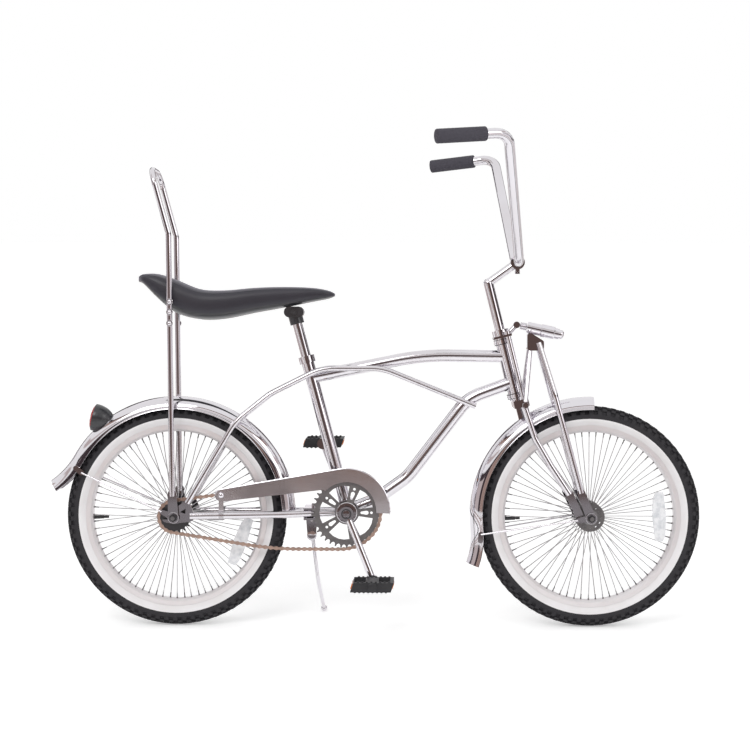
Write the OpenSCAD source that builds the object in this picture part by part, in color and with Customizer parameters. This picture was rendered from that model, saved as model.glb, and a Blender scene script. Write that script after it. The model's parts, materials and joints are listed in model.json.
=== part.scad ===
// Lowrider chopper bicycle with a springer fork, leaning on its side stand.
// Positions are [x, y, z] on the upright bike: x forward of the rear axle,
// y to the rider's left, z above the ground. The lean is put on at the end.

/* [Stance] */
// Lean of the parked bike to its left, in degrees
lean = 4.5; // [3:0.1:6]
// Distance between the two axles
wheelbase = 941; // [925:1:955]

/* [Wheels] */
// Outside diameter of each tyre
tyre_d = 504; // [498:1:508]
// Width of each tyre
tyre_w = 48; // [44:1:50]
// Diameter of the rim's inner wall, where the spokes end
rim_d = 384; // [376:1:388]
// Diameter over the rim's flanges
rim_flange_d = 414; // [410:1:418]
// Width of the rim over its flanges
rim_w = 32; // [30:1:34]
// Number of spokes in each wheel
spokes = 72; // [36:4:72]
// Diameter of a spoke
spoke_d = 2; // [1.8:0.1:2.2]
// Diameter of the hub flanges
flange_d = 66; // [56:1:68]
// Distance from the wheel's middle plane to each hub flange
flange_y = 28; // [24:1:29]
// Distance over the front hub's lock nuts
front_hub_w = 86; // [82:1:88]
// Distance between the rear dropouts
rear_hub_w = 110; // [108:1:112]
// Diameter of both axles
axle_d = 9.5; // [9:0.1:10]

/* [Frame] */
// Bottom bracket, forward of the rear axle
bb_x = 390; // [384:1:396]
// Bottom bracket height
bb_z = 262; // [258:1:266]
// Diameter of the bottom bracket shell
bb_d = 56; // [54:1:60]
// Width of the bottom bracket shell
bb_w = 68; // [66:1:70]
// Seat tube's slope from upright, in degrees
seat_tilt = 15; // [14:0.5:16]
// Length of the seat tube, from the bottom bracket's centre
seat_tube_l = 366; // [360:1:372]
// Diameter of the seat tube
seat_tube_d = 28.6; // [28:0.1:30]
// Diameter of the seat post
post_d = 22.2; // [21:0.1:24]
// Head tube's slope from upright, in degrees
head_tilt = 14; // [13:0.5:15]
// Foot of the head tube, forward of the rear axle
head_x = 773; // [768:1:778]
// Height of the head tube's foot
head_z = 532; // [528:1:536]
// Length of the head tube
head_l = 116; // [112:1:120]
// Diameter of the head tube
head_d = 34; // [32:1:36]
// Diameter of the top tube
top_tube_d = 28; // [26:0.5:29]
// Diameter of the down tube
down_tube_d = 30; // [28:0.5:31]
// Diameter of each twin tube
twin_d = 13; // [11:0.5:14]
// Diameter of each chainstay
stay_d = 17; // [15:0.5:18]
// Thickness of the dropout plates
dropout_t = 5; // [4:0.5:6]

/* [Fork and bars] */
// Diameter of the steerer tube
steerer_d = 25.4; // [25:0.1:26]
// Diameter of the fork's rear legs
rear_leg_d = 15; // [13:0.5:16]
// Diameter of the fork's front legs
front_leg_d = 14; // [12:0.5:15]
// Diameter of the struts beside the head tube
strut_d = 12; // [10:0.5:12.5]
// Diameter of the spring's cup
spring_cup_d = 29; // [27:0.5:31]
// Diameter of the handlebar tube
bar_d = 22.2; // [21:0.1:24]
// Half of the handlebar's width, at the middle of the grips
bar_half_w = 330; // [300:5:350]
// Height of the handlebar's top bends
bar_top_z = 1092; // [1070:2:1110]
// Diameter of the grips
grip_d = 31; // [29:0.5:33]
// Length of the grips
grip_l = 112; // [100:1:120]

/* [Drive] */
// Teeth on the chainring
ring_teeth = 38; // [36:1:40]
// Teeth on the rear sprocket
sprocket_teeth = 18; // [16:1:20]
// Chain pitch
chain_pitch = 12.7; // [12.7:0.1:12.7]
// Distance of the chain from the bike's middle plane
chain_y = 43; // [42:0.5:44]
// Length of each crank arm
crank_l = 160; // [150:1:165]
// Angle of the right crank arm above the forward level, in degrees
crank_angle = -68; // [-75:1:-60]
// Length of a pedal, fore and aft
pedal_l = 96; // [86:1:100]
// Width of a pedal
pedal_w = 92; // [84:1:96]
// Thickness of a pedal
pedal_t = 25; // [20:1:28]

/* [Body pieces] */
// Width of both fenders
fender_w = 62; // [60:1:66]
// Radius of both fenders over their crowns
fender_r = 272; // [268:1:276]
// Depth of a fender from crown to edge
fender_depth = 28; // [22:1:32]
// Thickness of the fender sheet
fender_t = 1.4; // [1:0.1:2]
// Half of the distance between the sissy bar's legs
sissy_y = 66; // [65:0.5:70]
// Diameter of the sissy bar
sissy_d = 12.7; // [11:0.1:14]
// Height of the sissy bar's hoop
sissy_top_z = 1043; // [1000:1:1060]
// Half of the seat's greatest width
seat_half_w = 56; // [50:1:58]
// Foot of the kickstand, out from the bike's middle plane
foot_y = 125; // [120:1:135]

/* [Hidden] */
$fn = 64;

running_gap = 0.3;
wheel_r = tyre_d / 2;
rear_c = [0, 0, wheel_r];
front_c = [wheelbase, 0, wheel_r];
bb_c = [bb_x, 0, bb_z];
chrome = "silver";
dark = "dimgray";

seat_dir = [-sin(seat_tilt), 0, cos(seat_tilt)];
head_dir = [-sin(head_tilt), 0, cos(head_tilt)];
head_c = [head_x, 0, head_z];
function on_head(s) = head_c + s * head_dir;
function on_seat_tube(s) = bb_c + s * seat_dir;

// Helpers

function unit(v) = v / norm(v);
function polar(r, a) = [r * cos(a), r * sin(a)];
// The same point on the left (1) or on the right (-1)
function beside(p, side) = [p.x, side * p.y, p.z];
function flat(p) = [p.x, p.z];

// A cylinder between two points
module rod(a, b, d) {
    v = b - a;
    translate(a) rotate([0, acos(v.z / norm(v)), atan2(v.y, v.x)]) cylinder(d = d, h = norm(v));
}

// A tube of straight lengths joined by bends of one radius. A bend swells a little,
// and the straight lengths run a little way into it
bend_swell = 0.1;
bend_overlap = 0.5;
module bent_tube(p, r, d) {
    last = len(p) - 1;
    turn = [for (i = [0:last]) i == 0 || i == last ? 0
        : acos(min(1, unit(p[i] - p[i - 1]) * unit(p[i + 1] - p[i])))];
    trim = [for (t = turn) r * tan(t / 2)];
    for (i = [0:last - 1]) {
        way = unit(p[i + 1] - p[i]);
        in0 = i == 0 ? 0 : bend_overlap;
        in1 = i + 1 == last ? 0 : bend_overlap;
        rod(p[i] + way * (trim[i] - in0), p[i + 1] - way * (trim[i + 1] - in1), d);
    }
    for (i = [1:last - 1]) {
        a = unit(p[i] - p[i - 1]);
        b = unit(p[i + 1] - p[i]);
        m = unit(b - a * (a * b));
        c = p[i] - a * trim[i] + m * r;
        w = cross(a, m);
        multmatrix([
            [-m.x, a.x, w.x, c.x],
            [-m.y, a.y, w.y, c.y],
            [-m.z, a.z, w.z, c.z],
            [0, 0, 0, 1]])
            rotate_extrude(angle = turn[i]) translate([r, 0]) circle(d = d + bend_swell);
    }
}

// Turns a profile about the wheel's axle line. Profile x is the radius, profile y is
// the distance to the bike's right
module lathe(a0 = 0, a1 = 360) {
    rotate([90, 0, 0]) rotate([0, 0, a0]) rotate_extrude(angle = a1 - a0) children();
}

// A disc or pin across the bike, from y0 to y1
module cross_pin(c, y0, y1, d) {
    translate([c.x, y0, c.z]) rotate([-90, 0, 0]) cylinder(d = d, h = y1 - y0);
}

// A flat plate in the bike's long plane, from y0 to y1, drawn in x and z
module side_plate(y0, y1) {
    translate([0, y1, 0]) rotate([90, 0, 0]) linear_extrude(y1 - y0) children();
}

// How far a straight side starts inside a disc, so that it crosses the rim and never just touches it
seam_depth = 0.02;

// The outline round two discs
module link_outline(a, ra, b, rb) {
    v = b - a;
    t = atan2(v.y, v.x);
    k = acos((ra - rb) / norm(v));
    ia = ra - seam_depth;
    ib = rb - seam_depth;
    translate(a) circle(r = ra);
    translate(b) circle(r = rb);
    polygon([a + polar(ia, t + k), a + polar(ia, t - k), b + polar(ib, t - k), b + polar(ib, t + k)]);
}

// A polygon, its corners given left-handed round, grown by r with round corners
module rounded_outline(corners, r) {
    polygon(corners);
    for (i = [0:len(corners) - 1]) {
        a = corners[i];
        b = corners[(i + 1) % len(corners)];
        out = (r - seam_depth) / norm(b - a) * [b.y - a.y, a.x - b.x];
        translate(a) circle(r = r);
        polygon([a, a + out, b + out, b]);
    }
}

module link_plate(a, ra, b, rb, y0, y1) {
    side_plate(y0, y1) link_outline(flat(a), ra, flat(b), rb);
}

module both_sides() {
    children();
    mirror([0, 1, 0]) children();
}

// Wheels

tread_flat = 2;
// How far the lean would sink the tread's edge
z_lift = tread_flat * sin(lean);
tyre_bead_w = 27;
tyre_bead_r = 198;
// Half of the tyre's section, from the bead round to the middle of the tread
function tyre_side(steps = 9) = let(mid = wheel_r - tyre_w / 2) [
    [tyre_bead_r, tyre_bead_w / 2],
    [rim_flange_d / 2 + running_gap, tyre_bead_w / 2],
    for (i = [0:steps]) let(a = -40 + i * 115 / steps)
        [mid + tyre_w / 2 * sin(a) * (a > 0 ? 0.985 : 1), tyre_w / 2 * cos(a)],
    [wheel_r, tread_flat]
];
function both_halves(side) = concat(side, [for (i = [len(side) - 1:-1:0]) [side[i].x, -side[i].y]]);

valve_d = 8;
valve_l = 34;
module valve(angle) {
    rotate([0, -angle, 0]) translate([tyre_bead_r + 1 - valve_l - 8, 0, 0]) rotate([0, 90, 0])
        cylinder(d = valve_d, h = valve_l + 8);
}

module tyre(valve_angle) {
    lathe() polygon(both_halves(tyre_side()));
    valve(valve_angle);
}

rim_wall = 2;
module rim(valve_angle) {
    r0 = rim_d / 2;
    r1 = rim_flange_d / 2;
    difference() {
        lathe() polygon(both_halves([
            [r0, 0], [r0, rim_w / 2 - 5], [r0 + 5, rim_w / 2], [r1, rim_w / 2],
            [r1, tyre_bead_w / 2 + running_gap], [tyre_bead_r - running_gap, tyre_bead_w / 2 + running_gap],
            [tyre_bead_r - running_gap, 0]]));
        rotate([0, -valve_angle, 0]) translate([r0 - 5, 0, 0]) rotate([0, 90, 0])
            cylinder(d = valve_d + 2 * running_gap, h = 20);
    }
}

spoke_lean = 16;
spoke_rim_y = 4;
spoke_pair_y = 1.4;
module spoke_set() {
    a_step = 720 / spokes;
    r0 = flange_d / 2 + running_gap;
    r1 = rim_d / 2 - running_gap - 0.2;
    for (side = [-1, 1]) for (i = [0:spokes / 2 - 1]) {
        way = i % 2 == 0 ? 1 : -1;
        a = i * a_step + (side > 0 ? 0 : a_step / 2);
        b = a + way * spoke_lean;
        p = polar(r0, a);
        q = polar(r1, b);
        $fn = 6;
        rod([p.x, side * (flange_y + way * spoke_pair_y), p.y],
            [q.x, side * (spoke_rim_y + way * spoke_pair_y), q.y], spoke_d);
    }
}

flange_t = 5;
module hub(barrel_d, half_l) {
    difference() {
        lathe() polygon(both_halves([
            [axle_d / 2 + running_gap, half_l - running_gap], [11, half_l - running_gap],
            [13, half_l - 8], [18, flange_y + flange_t / 2 + 3],
            [18, flange_y + flange_t / 2], [flange_d / 2, flange_y + flange_t / 2],
            [flange_d / 2, flange_y - flange_t / 2],
            [barrel_d / 2, flange_y - flange_t / 2 - 2], [barrel_d / 2, 0]]));
        for (i = [0:11]) rotate([0, i * 30, 0]) translate([24, 0, 0]) rotate([90, 0, 0])
            cylinder(d = 6, h = 120, center = true);
    }
}

// A spoke reflector, [across the rim, along the rim] from its middle
reflector_t = 4.5;
reflector_mid = 158;
reflector_half_l = 56;
reflector_half_w = 15;
reflector_y = flange_y - (flange_y - spoke_rim_y)
    * (reflector_mid - reflector_half_w - 3 - flange_d / 2) / (rim_d / 2 - flange_d / 2)
    + spoke_pair_y + spoke_d / 2 + running_gap;
module reflector(angle) {
    rotate([0, -angle, 0]) side_plate(-reflector_y - reflector_t, -reflector_y)
        translate([reflector_mid, 0]) polygon([for (s = [1, -1]) each [for (q = [
            [-0.6, -1], [0.6, -1], [0.95, -0.75], [1.05, 0]]) s * [q.x * reflector_half_w, q.y * reflector_half_l]]]);
}

wheel_valve_angle = 182;
module front_tyre() color("black") translate(front_c) tyre(wheel_valve_angle);
module rear_tyre() color("black") translate(rear_c) tyre(wheel_valve_angle);
module front_rim() color("lightgray") translate(front_c) rim(wheel_valve_angle);
module rear_rim() color("lightgray") translate(rear_c) rim(wheel_valve_angle);
module front_spokes() color(chrome) translate(front_c) spoke_set();
module rear_spokes() color(chrome) translate(rear_c) spoke_set();
module front_hub() color(dark) translate(front_c) hub(30, front_hub_w / 2);
module rear_hub() color(dark) translate(rear_c) hub(46, rear_hub_half - running_gap);
module front_reflector() color("white") translate(front_c) reflector(0);
module rear_reflector() color("white") translate(rear_c) reflector(-22);

// Axles

nut_w = 16;
nut_l = 9;
stub_l = 6;
cone_d = 18;
// An axle with its outer nuts at nut_y, and its cones and lock nuts in the given spans
module axle(c, nut_y, spans) {
    cross_pin(c, -nut_y - nut_l - stub_l, nut_y + nut_l + stub_l, axle_d);
    both_sides() cross_pin(c, nut_y, nut_y + nut_l, nut_w);
    for (q = spans) cross_pin(c, q[0], q[1], cone_d);
}
stay_eye_t = 3;
function rear_nut_y() = sissy_y + sissy_strap_t / 2 + running_gap;
rear_hub_half = 36;
function front_nut_y() = link_outer_y + 2 * running_gap + link_t + stay_eye_t + running_gap;
module rear_axle() color(dark) axle(rear_c, rear_nut_y(), [
    [-chain_y + ring_t / 2 + running_gap, -rear_hub_half + running_gap],
    [rear_hub_half - running_gap, brake_arm_y - running_gap],
    [brake_arm_y + brake_arm_t + running_gap, dropout_y - running_gap]]);
module front_axle() color(dark) axle(front_c, front_nut_y(), [for (side = [-1, 1])
    [min(side * front_hub_w / 2, side * (link_inner_y - running_gap)),
    max(side * front_hub_w / 2, side * (link_inner_y - running_gap))]]);

// Frame

cup_d = 40;
cup_l = 11;
head_bore_d = 29;
module on_head_axis() {
    translate(head_c) rotate([0, -head_tilt, 0]) children();
}
module head_outer() {
    on_head_axis() {
        cylinder(d = head_d, h = head_l);
        translate([0, 0, -cup_l]) cylinder(d = cup_d, h = cup_l);
        translate([0, 0, head_l]) cylinder(d = cup_d, h = cup_l);
    }
}
module head_tube() {
    color(chrome) difference() {
        head_outer();
        on_head_axis() {
            cylinder(d = head_bore_d, h = head_l);
            translate([0, 0, -cup_l - 1]) cylinder(d = steerer_d + 2 * running_gap, h = head_l + 2 * cup_l + 2);
        }
    }
}

module bb_outer() {
    cross_pin(bb_c, -bb_w / 2, bb_w / 2, bb_d);
}
collar_l = 16;
module seat_tube_outer() {
    rod(bb_c, on_seat_tube(seat_tube_l), seat_tube_d);
    rod(on_seat_tube(seat_tube_l - collar_l), on_seat_tube(seat_tube_l), seat_tube_d + 8);
}
bb_bore_d = 34;
bb_cup_l = 9;
post_depth = 90;
module seat_tube() {
    color(chrome) difference() {
        union() {
            bb_outer();
            seat_tube_outer();
        }
        cross_pin(bb_c, -bb_w / 2 + bb_cup_l, bb_w / 2 - bb_cup_l, bb_bore_d);
        cross_pin(bb_c, -bb_w, bb_w, crank_spindle_d + 2 * running_gap);
        rod(on_seat_tube(seat_tube_l - post_depth - 10), on_seat_tube(seat_tube_l + 5), post_d + 2 * running_gap);
    }
}

top_tube_bend = 600;
module top_tube() {
    color(chrome) difference() {
        bent_tube([on_head(86), [560, 0, head_z + 86], on_seat_tube(316)], top_tube_bend, top_tube_d);
        head_outer();
        seat_tube_outer();
    }
}

down_tube_path = [on_head(26), [665, 0, 520], [528, 0, 340], [455, 0, 288], bb_c];
module down_tube_outer() {
    bent_tube(down_tube_path, 110, down_tube_d);
}
module down_tube() {
    color(chrome) difference() {
        down_tube_outer();
        head_outer();
        bb_outer();
        seat_tube_outer();
    }
}

dropout_y = rear_hub_w / 2;
stay_end_y = dropout_y + dropout_t / 2;
twin_path = [
    [682, -13, 502], [470, -22, 588], [330, -24, 588], [215, -38, 530],
    [138, -48, 468], [30, -stay_end_y, 284]
];
module twin_tubes() {
    color(chrome) difference() {
        both_sides() bent_tube(twin_path, 130, twin_d);
        down_tube_outer();
        seat_tube_outer();
        dropouts();
    }
}

stay_path = [
    [bb_x, -24, bb_z - 2], [330, -27, 259], [250, -39, 257], [36, -stay_end_y, 255]
];
bridge_x = 292;
bridge_d = 14;
stay_bridge_z = 258;
stay_bridge_half = 33;
module dropouts() {
    both_sides() difference() {
        side_plate(-dropout_y - dropout_t, -dropout_y) difference() {
            union() {
                link_outline([0, wheel_r], 15, [34, wheel_r + 3], 13);
                link_outline([34, wheel_r + 3], 13, [28, wheel_r + 29], 8);
                link_outline([0, wheel_r], 15, [28, wheel_r + 29], 8);
                link_outline([0, wheel_r], 15, [-16, wheel_r], 12);
            }
            circle_slot();
            polygon([[14, wheel_r + 12], [27, wheel_r + 20], [26, wheel_r + 8]]);
        }
    }
}
// The axle's open-ended slot in each dropout
module circle_slot() {
    translate([0, wheel_r]) circle(d = axle_d + 2 * running_gap);
    translate([-40, wheel_r - axle_d / 2 - running_gap]) square([40, axle_d + 2 * running_gap]);
}
module chainstays() {
    color(chrome) difference() {
        union() {
            both_sides() bent_tube(stay_path, 120, stay_d);
            rod([bridge_x, -stay_bridge_half, stay_bridge_z], [bridge_x, stay_bridge_half, stay_bridge_z], bridge_d);
            dropouts();
        }
        bb_outer();
        both_sides() side_plate(-dropout_y - 20, -dropout_y + 20) circle_slot();
    }
}

seat_post_top = 474;
module seat_post() {
    color(chrome) rod(on_seat_tube(seat_tube_l - post_depth), on_seat_tube(seat_post_top), post_d);
}
jaw_y = 20;
jaw_r = 12.5;
jaw_half_l = 10;
jaw_c = on_seat_tube(seat_post_top - 4);
// The clamp's body, wider than the post, that carries the seat
module clamp_jaws(gap = 0) {
    link_plate(jaw_c - [jaw_half_l, 0, 0], jaw_r + gap, jaw_c + [jaw_half_l, 0, 0], jaw_r - 0.1 + gap,
        -jaw_y - gap, jaw_y + gap);
}
module seat_clamp() {
    color("black") difference() {
        union() {
            clamp_jaws();
            rod(on_seat_tube(seat_post_top - 32), jaw_c, post_d + 10);
            cross_pin(jaw_c, -jaw_y - 6, jaw_y + 6, 13);
        }
        rod(on_seat_tube(seat_post_top - 60), on_seat_tube(seat_post_top + running_gap), post_d + 2 * running_gap);
    }
}

// The seat's sections from tail to nose: [x, top z, underside z, half width]
seat_sections = [
    [-85, 797, 784, 16], [-72, 802, 778, 40], [-40, 802, 746, 0.94 * seat_half_w],
    [0, 789, 714, seat_half_w], [54, 768, 699, seat_half_w], [110, 765, 700, 0.96 * seat_half_w],
    [180, 771, 714, 0.84 * seat_half_w], [246, 773, 726, 0.72 * seat_half_w],
    [310, 771, 739, 0.62 * seat_half_w], [346, 765, 746, 0.5 * seat_half_w], [361, 758, 752, 10]
];
seat_ring = 20;
function seat_point(s, a) = let(mid = (s[1] + s[2]) / 2, half = (s[1] - s[2]) / 2,
    c = cos(a), z = sin(a))
    [s[0], s[3] * sign(c) * pow(abs(c), 0.65), mid + half * sign(z) * pow(abs(z), 0.65)];
module seat_solid() {
    n = len(seat_sections);
    points = [for (s = seat_sections) for (i = [0:seat_ring - 1]) seat_point(s, 360 * i / seat_ring)];
    sides = [for (j = [0:n - 2]) for (i = [0:seat_ring - 1]) let(k = (i + 1) % seat_ring)
        [j * seat_ring + i, (j + 1) * seat_ring + i, (j + 1) * seat_ring + k, j * seat_ring + k]];
    polyhedron(points, concat([[for (i = [0:seat_ring - 1]) i]], sides,
        [[for (i = [seat_ring - 1:-1:0]) (n - 1) * seat_ring + i]]), convexity = 4);
}
module saddle() {
    color([0.1, 0.1, 0.12]) difference() {
        seat_solid();
        clamp_jaws(running_gap);
        cross_pin(jaw_c, -jaw_y - 7, jaw_y + 7, 13 + 2 * running_gap);
    }
}

sissy_strap_t = 4;
sissy_path = [
    [-3, -sissy_y, 300], [-10, -sissy_y, 890], [-50, -sissy_y, sissy_top_z - sissy_d / 2],
    [-50, sissy_y, sissy_top_z - sissy_d / 2], [-10, sissy_y, 890], [-3, sissy_y, 300]
];
sissy_bolt_x = -7;
sissy_bolt_z = [738, 715, 690];
module sissy_bar() {
    color(chrome) {
        difference() {
            union() {
                bent_tube(sissy_path, 38, sissy_d);
                both_sides() for (z = sissy_bolt_z) cross_pin([sissy_bolt_x, 0, z], -sissy_y - 10, -sissy_y, 10);
                // The topmost bolt holds the seat
                both_sides() cross_pin([sissy_bolt_x, 0, sissy_bolt_z[0]], -sissy_y, -seat_half_w - running_gap, 8);
                both_sides() side_plate(-sissy_y - sissy_strap_t / 2, -sissy_y + sissy_strap_t / 2)
                    link_outline([0, wheel_r], 12, [-3, 305], 10);
            }
            cross_pin(rear_c, -100, 100, axle_d + 2 * running_gap);
        }
    }
}

// Fenders

fender_side_steps = 6;
// The fender's section as [radius, y], from the crown's middle to its edge and back inside
function fender_arc(t) = [for (i = [0:2 * fender_side_steps]) let(a = -90 + 90 * i / fender_side_steps)
    [fender_r - fender_depth + (fender_depth - t) * cos(a), (fender_w / 2 - t) * sin(a)]];
fender_outer = fender_arc(0);
fender_inner = fender_arc(fender_t);
fender_section = concat(fender_outer,
    [for (i = [len(fender_inner) - 1:-1:0]) fender_inner[i]]);

// All that lies inside a fender's crown, and the given gap more
module fender_fill(gap) {
    arc = fender_arc(-gap);
    lathe() polygon(concat([[fender_r / 2, arc[0].y]], arc, [[fender_r / 2, -arc[0].y]]));
}
module fender_band(a0, a1) lathe(a0, a1) polygon(fender_section);
// The flared end turns outward from the band at angle a, over the given turn. Its sheet
// is a little thicker, and it starts a little inside the band
flare_r = 180;
flare_swell = 0.05;
flare_overlap = 0.6;
flare_arcs = [fender_arc(-flare_swell), fender_arc(fender_t + flare_swell)];
flare_section = concat(flare_arcs[0], [for (i = [len(flare_arcs[1]) - 1:-1:0]) flare_arcs[1][i]]);
module fender_flare(a, turn) {
    rotate([90, 0, 0]) rotate([0, 0, a]) translate([fender_r + flare_r, 0, 0])
        rotate([0, 0, 180 - turn]) rotate_extrude(angle = turn + flare_overlap)
            polygon([for (p = flare_section) [fender_r + flare_r - p.x, p.y]]);
}

rear_fender_start = 2;
rear_fender_end = 150;
fender_turn = 25;
module rear_fender_shell() {
    translate(rear_c) {
        fender_band(rear_fender_start, rear_fender_end);
        fender_flare(rear_fender_end, fender_turn);
    }
}
module rear_fender() {
    color(chrome) rear_fender_shell();
}
// A stay's flat foot on the fender's side, beside its edge
stay_foot_t = 2;
stay_foot_y = fender_w / 2 + running_gap;
stay_rod_d = 4;
stay_eye_l = 30;
module fender_stay(c, eye_y, foot, toe) {
    eye = c + unit([foot.x - c.x, 0, foot.z - c.z]) * stay_eye_l - [0, eye_y + stay_rod_d / 2, 0];
    difference() {
        union() {
            link_plate(c, 9, eye, 5, -eye_y - stay_eye_t, -eye_y);
            rod(eye, foot - [0, stay_foot_y + stay_rod_d / 2, 0], stay_rod_d);
        }
        cross_pin(c, -100, 100, axle_d + 2 * running_gap);
    }
    link_plate(foot, 6, toe, 5.9, -stay_foot_y - stay_foot_t, -stay_foot_y);
}
rear_stay_foot = [-214, 0, 350];
module rear_fender_stays() {
    color(chrome) {
        both_sides() fender_stay(rear_c, dropout_y + dropout_t + running_gap, rear_stay_foot,
            rear_stay_foot + [-13, 0, 10]);
        // A spacer bolts the fender's lower end to the stay bridge
        rod([fender_r + running_gap, 0, stay_bridge_z], [bridge_x - bridge_d / 2 - running_gap, 0, stay_bridge_z], 12);
    }
}

front_fender_start = 88;
front_fender_end = 186;
module front_fender() {
    color(chrome) {
        translate(front_c) {
            fender_band(front_fender_start, front_fender_end);
            fender_flare(front_fender_end, fender_turn);
        }
    }
}
front_stay_foot = [694, 0, 212];
module front_fender_stays() {
    color(chrome) {
        both_sides() fender_stay(front_c, front_nut_y() - running_gap - stay_eye_t, front_stay_foot,
            front_stay_foot + [-1, 0, -14]);
        // A block under the crown carries the fender
        difference() {
            on_head_axis() translate([-7, -9, crown_low - running_gap - 40]) cube([14, 18, 40]);
            translate(front_c) fender_fill(running_gap);
        }
    }
}

// Tail lamp

lamp_c = [-191, 0, 475];
lamp_tilt = 13;
lamp_d = 62;
lamp_l = 47;
lens_t = 7;
// The lamp's axis points back and a little up, and its rear rim is at the lamp's own origin
module on_lamp_axis() {
    translate(lamp_c) rotate([0, lamp_tilt - 90, 0]) children();
}
module tail_lamp() {
    color("black") difference() {
        on_lamp_axis() rotate_extrude() polygon(concat([[0, 0]], [for (i = [0:8]) let(t = i / 8)
            [lamp_d / 2 * pow(1 - t * t, 0.6) + 3 * t, -lamp_l * t]], [[0, -lamp_l]]));
        translate(rear_c) fender_fill(running_gap);
    }
}
module tail_lens() {
    color("red") on_lamp_axis() translate([0, 0, running_gap]) rotate_extrude() polygon(concat([[0, 0]],
        [for (i = [0:6]) let(a = 15 * i) [(lamp_d / 2 - 3) * cos(a) + (i == 6 ? 0 : 0), lens_t * sin(a)]]));
}

// Drive

tooth_h = 3.6;
roller_r = 3.9;
function pitch_r(n) = chain_pitch / (2 * sin(180 / n));
// A toothed outline: each gap seats a roller, and each tooth narrows to its tip
module toothed_outline(n, turn = 0) {
    r = pitch_r(n);
    half = 180 / n;
    k = 180 / PI / r;
    polygon([for (i = [0:n - 1]) let(a = turn + i * 2 * half) each [
        polar(r - roller_r - 0.3, a - 1.6 * k), polar(r - roller_r - 0.3, a + 1.6 * k),
        polar(r - 1.4, a + (roller_r + 0.2) * k), polar(r + 0.6, a + (roller_r + 0.4) * k),
        polar(r + tooth_h, a + half - 1.0 * k), polar(r + tooth_h, a + half + 1.0 * k),
        polar(r + 0.6, a + 2 * half - (roller_r + 0.4) * k), polar(r - 1.4, a + 2 * half - (roller_r + 0.2) * k)]]);
}
ring_t = 2.6;
ring_r = pitch_r(ring_teeth);
sprocket_r = pitch_r(sprocket_teeth);
module chainring() {
    window_r0 = 26;
    window_r1 = ring_r - 17;
    color(dark) translate(bb_c) difference() {
        side_plate(-chain_y - ring_t / 2, -chain_y + ring_t / 2) difference() {
            toothed_outline(ring_teeth);
            circle(d = crank_boss_d + 2 * running_gap);
            for (i = [0:4]) rotate(i * 72) {
                polygon([polar(window_r0, 17), polar(window_r1, 12), polar(window_r1 + 1.5, 24),
                    polar(window_r1 + 2, 36), polar(window_r1 + 1.5, 48), polar(window_r1, 60),
                    polar(window_r0, 55), polar(window_r0 - 1, 36)]);
                translate([window_r1 - 4, 0]) circle(r = 3);
                link_outline([window_r0 + 8, 0], 3, [window_r1 - 15, 0], 4.5);
            }
        }
    }
}
module rear_sprocket() {
    color("black") translate(rear_c) difference() {
        side_plate(-chain_y - ring_t / 2, -chain_y + ring_t / 2) toothed_outline(sprocket_teeth, sprocket_turn);
        lathe() square([axle_d / 2 + running_gap, 60]);
    }
    color("black") difference() {
        cross_pin(rear_c, -dropout_y + running_gap, -chain_y - ring_t / 2, 26);
        cross_pin(rear_c, -80, 0, axle_d + 2 * running_gap);
    }
}

crank_spindle_d = 24;
crank_boss_d = 30;
crank_arm_d = 16;
crank_foot_y = 64;
crank_tip_y = 78;
crank_root_d = 33;
pedal_boss_d = 26;
pedal_gap_y = 17;
pedal_pin_d = 9;
pedal_y = crank_tip_y + pedal_gap_y;
module crank_arm(side) {
    // side 1 is the left arm, -1 the right one
    a = side < 0 ? crank_angle : crank_angle + 180;
    way = [cos(a), 0, sin(a)];
    root = bb_c + [0, side * crank_foot_y, 0];
    tip = bb_c + way * crank_l + [0, side * crank_tip_y, 0];
    rod(root, tip, crank_arm_d);
    cross_pin(bb_c, min(root.y - side * 14, root.y + side * 9), max(root.y - side * 14, root.y + side * 9), crank_root_d);
    cross_pin(tip, tip.y - crank_arm_d / 2 - 1, tip.y + crank_arm_d / 2 + 1, pedal_boss_d);
    cross_pin(tip, min(tip.y, side * (pedal_y + pedal_w - 10)), max(tip.y, side * (pedal_y + pedal_w - 10)),
        pedal_pin_d);
}
module crank() {
    color(chrome) {
        crank_arm(-1);
        crank_arm(1);
        cross_pin(bb_c, -crank_foot_y, crank_foot_y, crank_spindle_d);
        cross_pin(bb_c, -chain_y - ring_t / 2 - 4, -bb_w / 2 - running_gap, crank_boss_d);
        cross_pin(bb_c, bb_w / 2 + running_gap, bb_w / 2 + 8, crank_boss_d);
    }
}

pedal_window_x = 27;
pedal_window_l = 25;
pedal_end_w = 12;
module pedal(side) {
    a = side < 0 ? crank_angle : crank_angle + 180;
    c = bb_c + crank_l * [cos(a), 0, sin(a)];
    y0 = side * pedal_y;
    y1 = side * (pedal_y + pedal_w);
    color([0.12, 0.12, 0.14]) difference() {
        side_plate(min(y0, y1), max(y0, y1)) translate(flat(c)) {
            polygon([[-pedal_l / 2, -pedal_t / 2 + 2], [pedal_l / 2 - 7, -pedal_t / 2 + 2],
                [pedal_l / 2, pedal_t / 2 - 2], [-pedal_l / 2 + 7, pedal_t / 2 - 2]]);
            circle(d = pedal_t, $fn = 6);
        }
        cross_pin(c, min(y0, y1) - 1, max(y0, y1) + 1, pedal_pin_d + 2 * running_gap);
        // Two windows leave a frame round the barrel
        for (s = [-1, 1]) translate([c.x + s * pedal_window_x, (y0 + y1) / 2, c.z])
            cube([pedal_window_l, pedal_w - 2 * pedal_end_w, 60], center = true);
    }
}
module pedal_right() pedal(-1);
module pedal_left() pedal(1);

// Chain path

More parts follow.
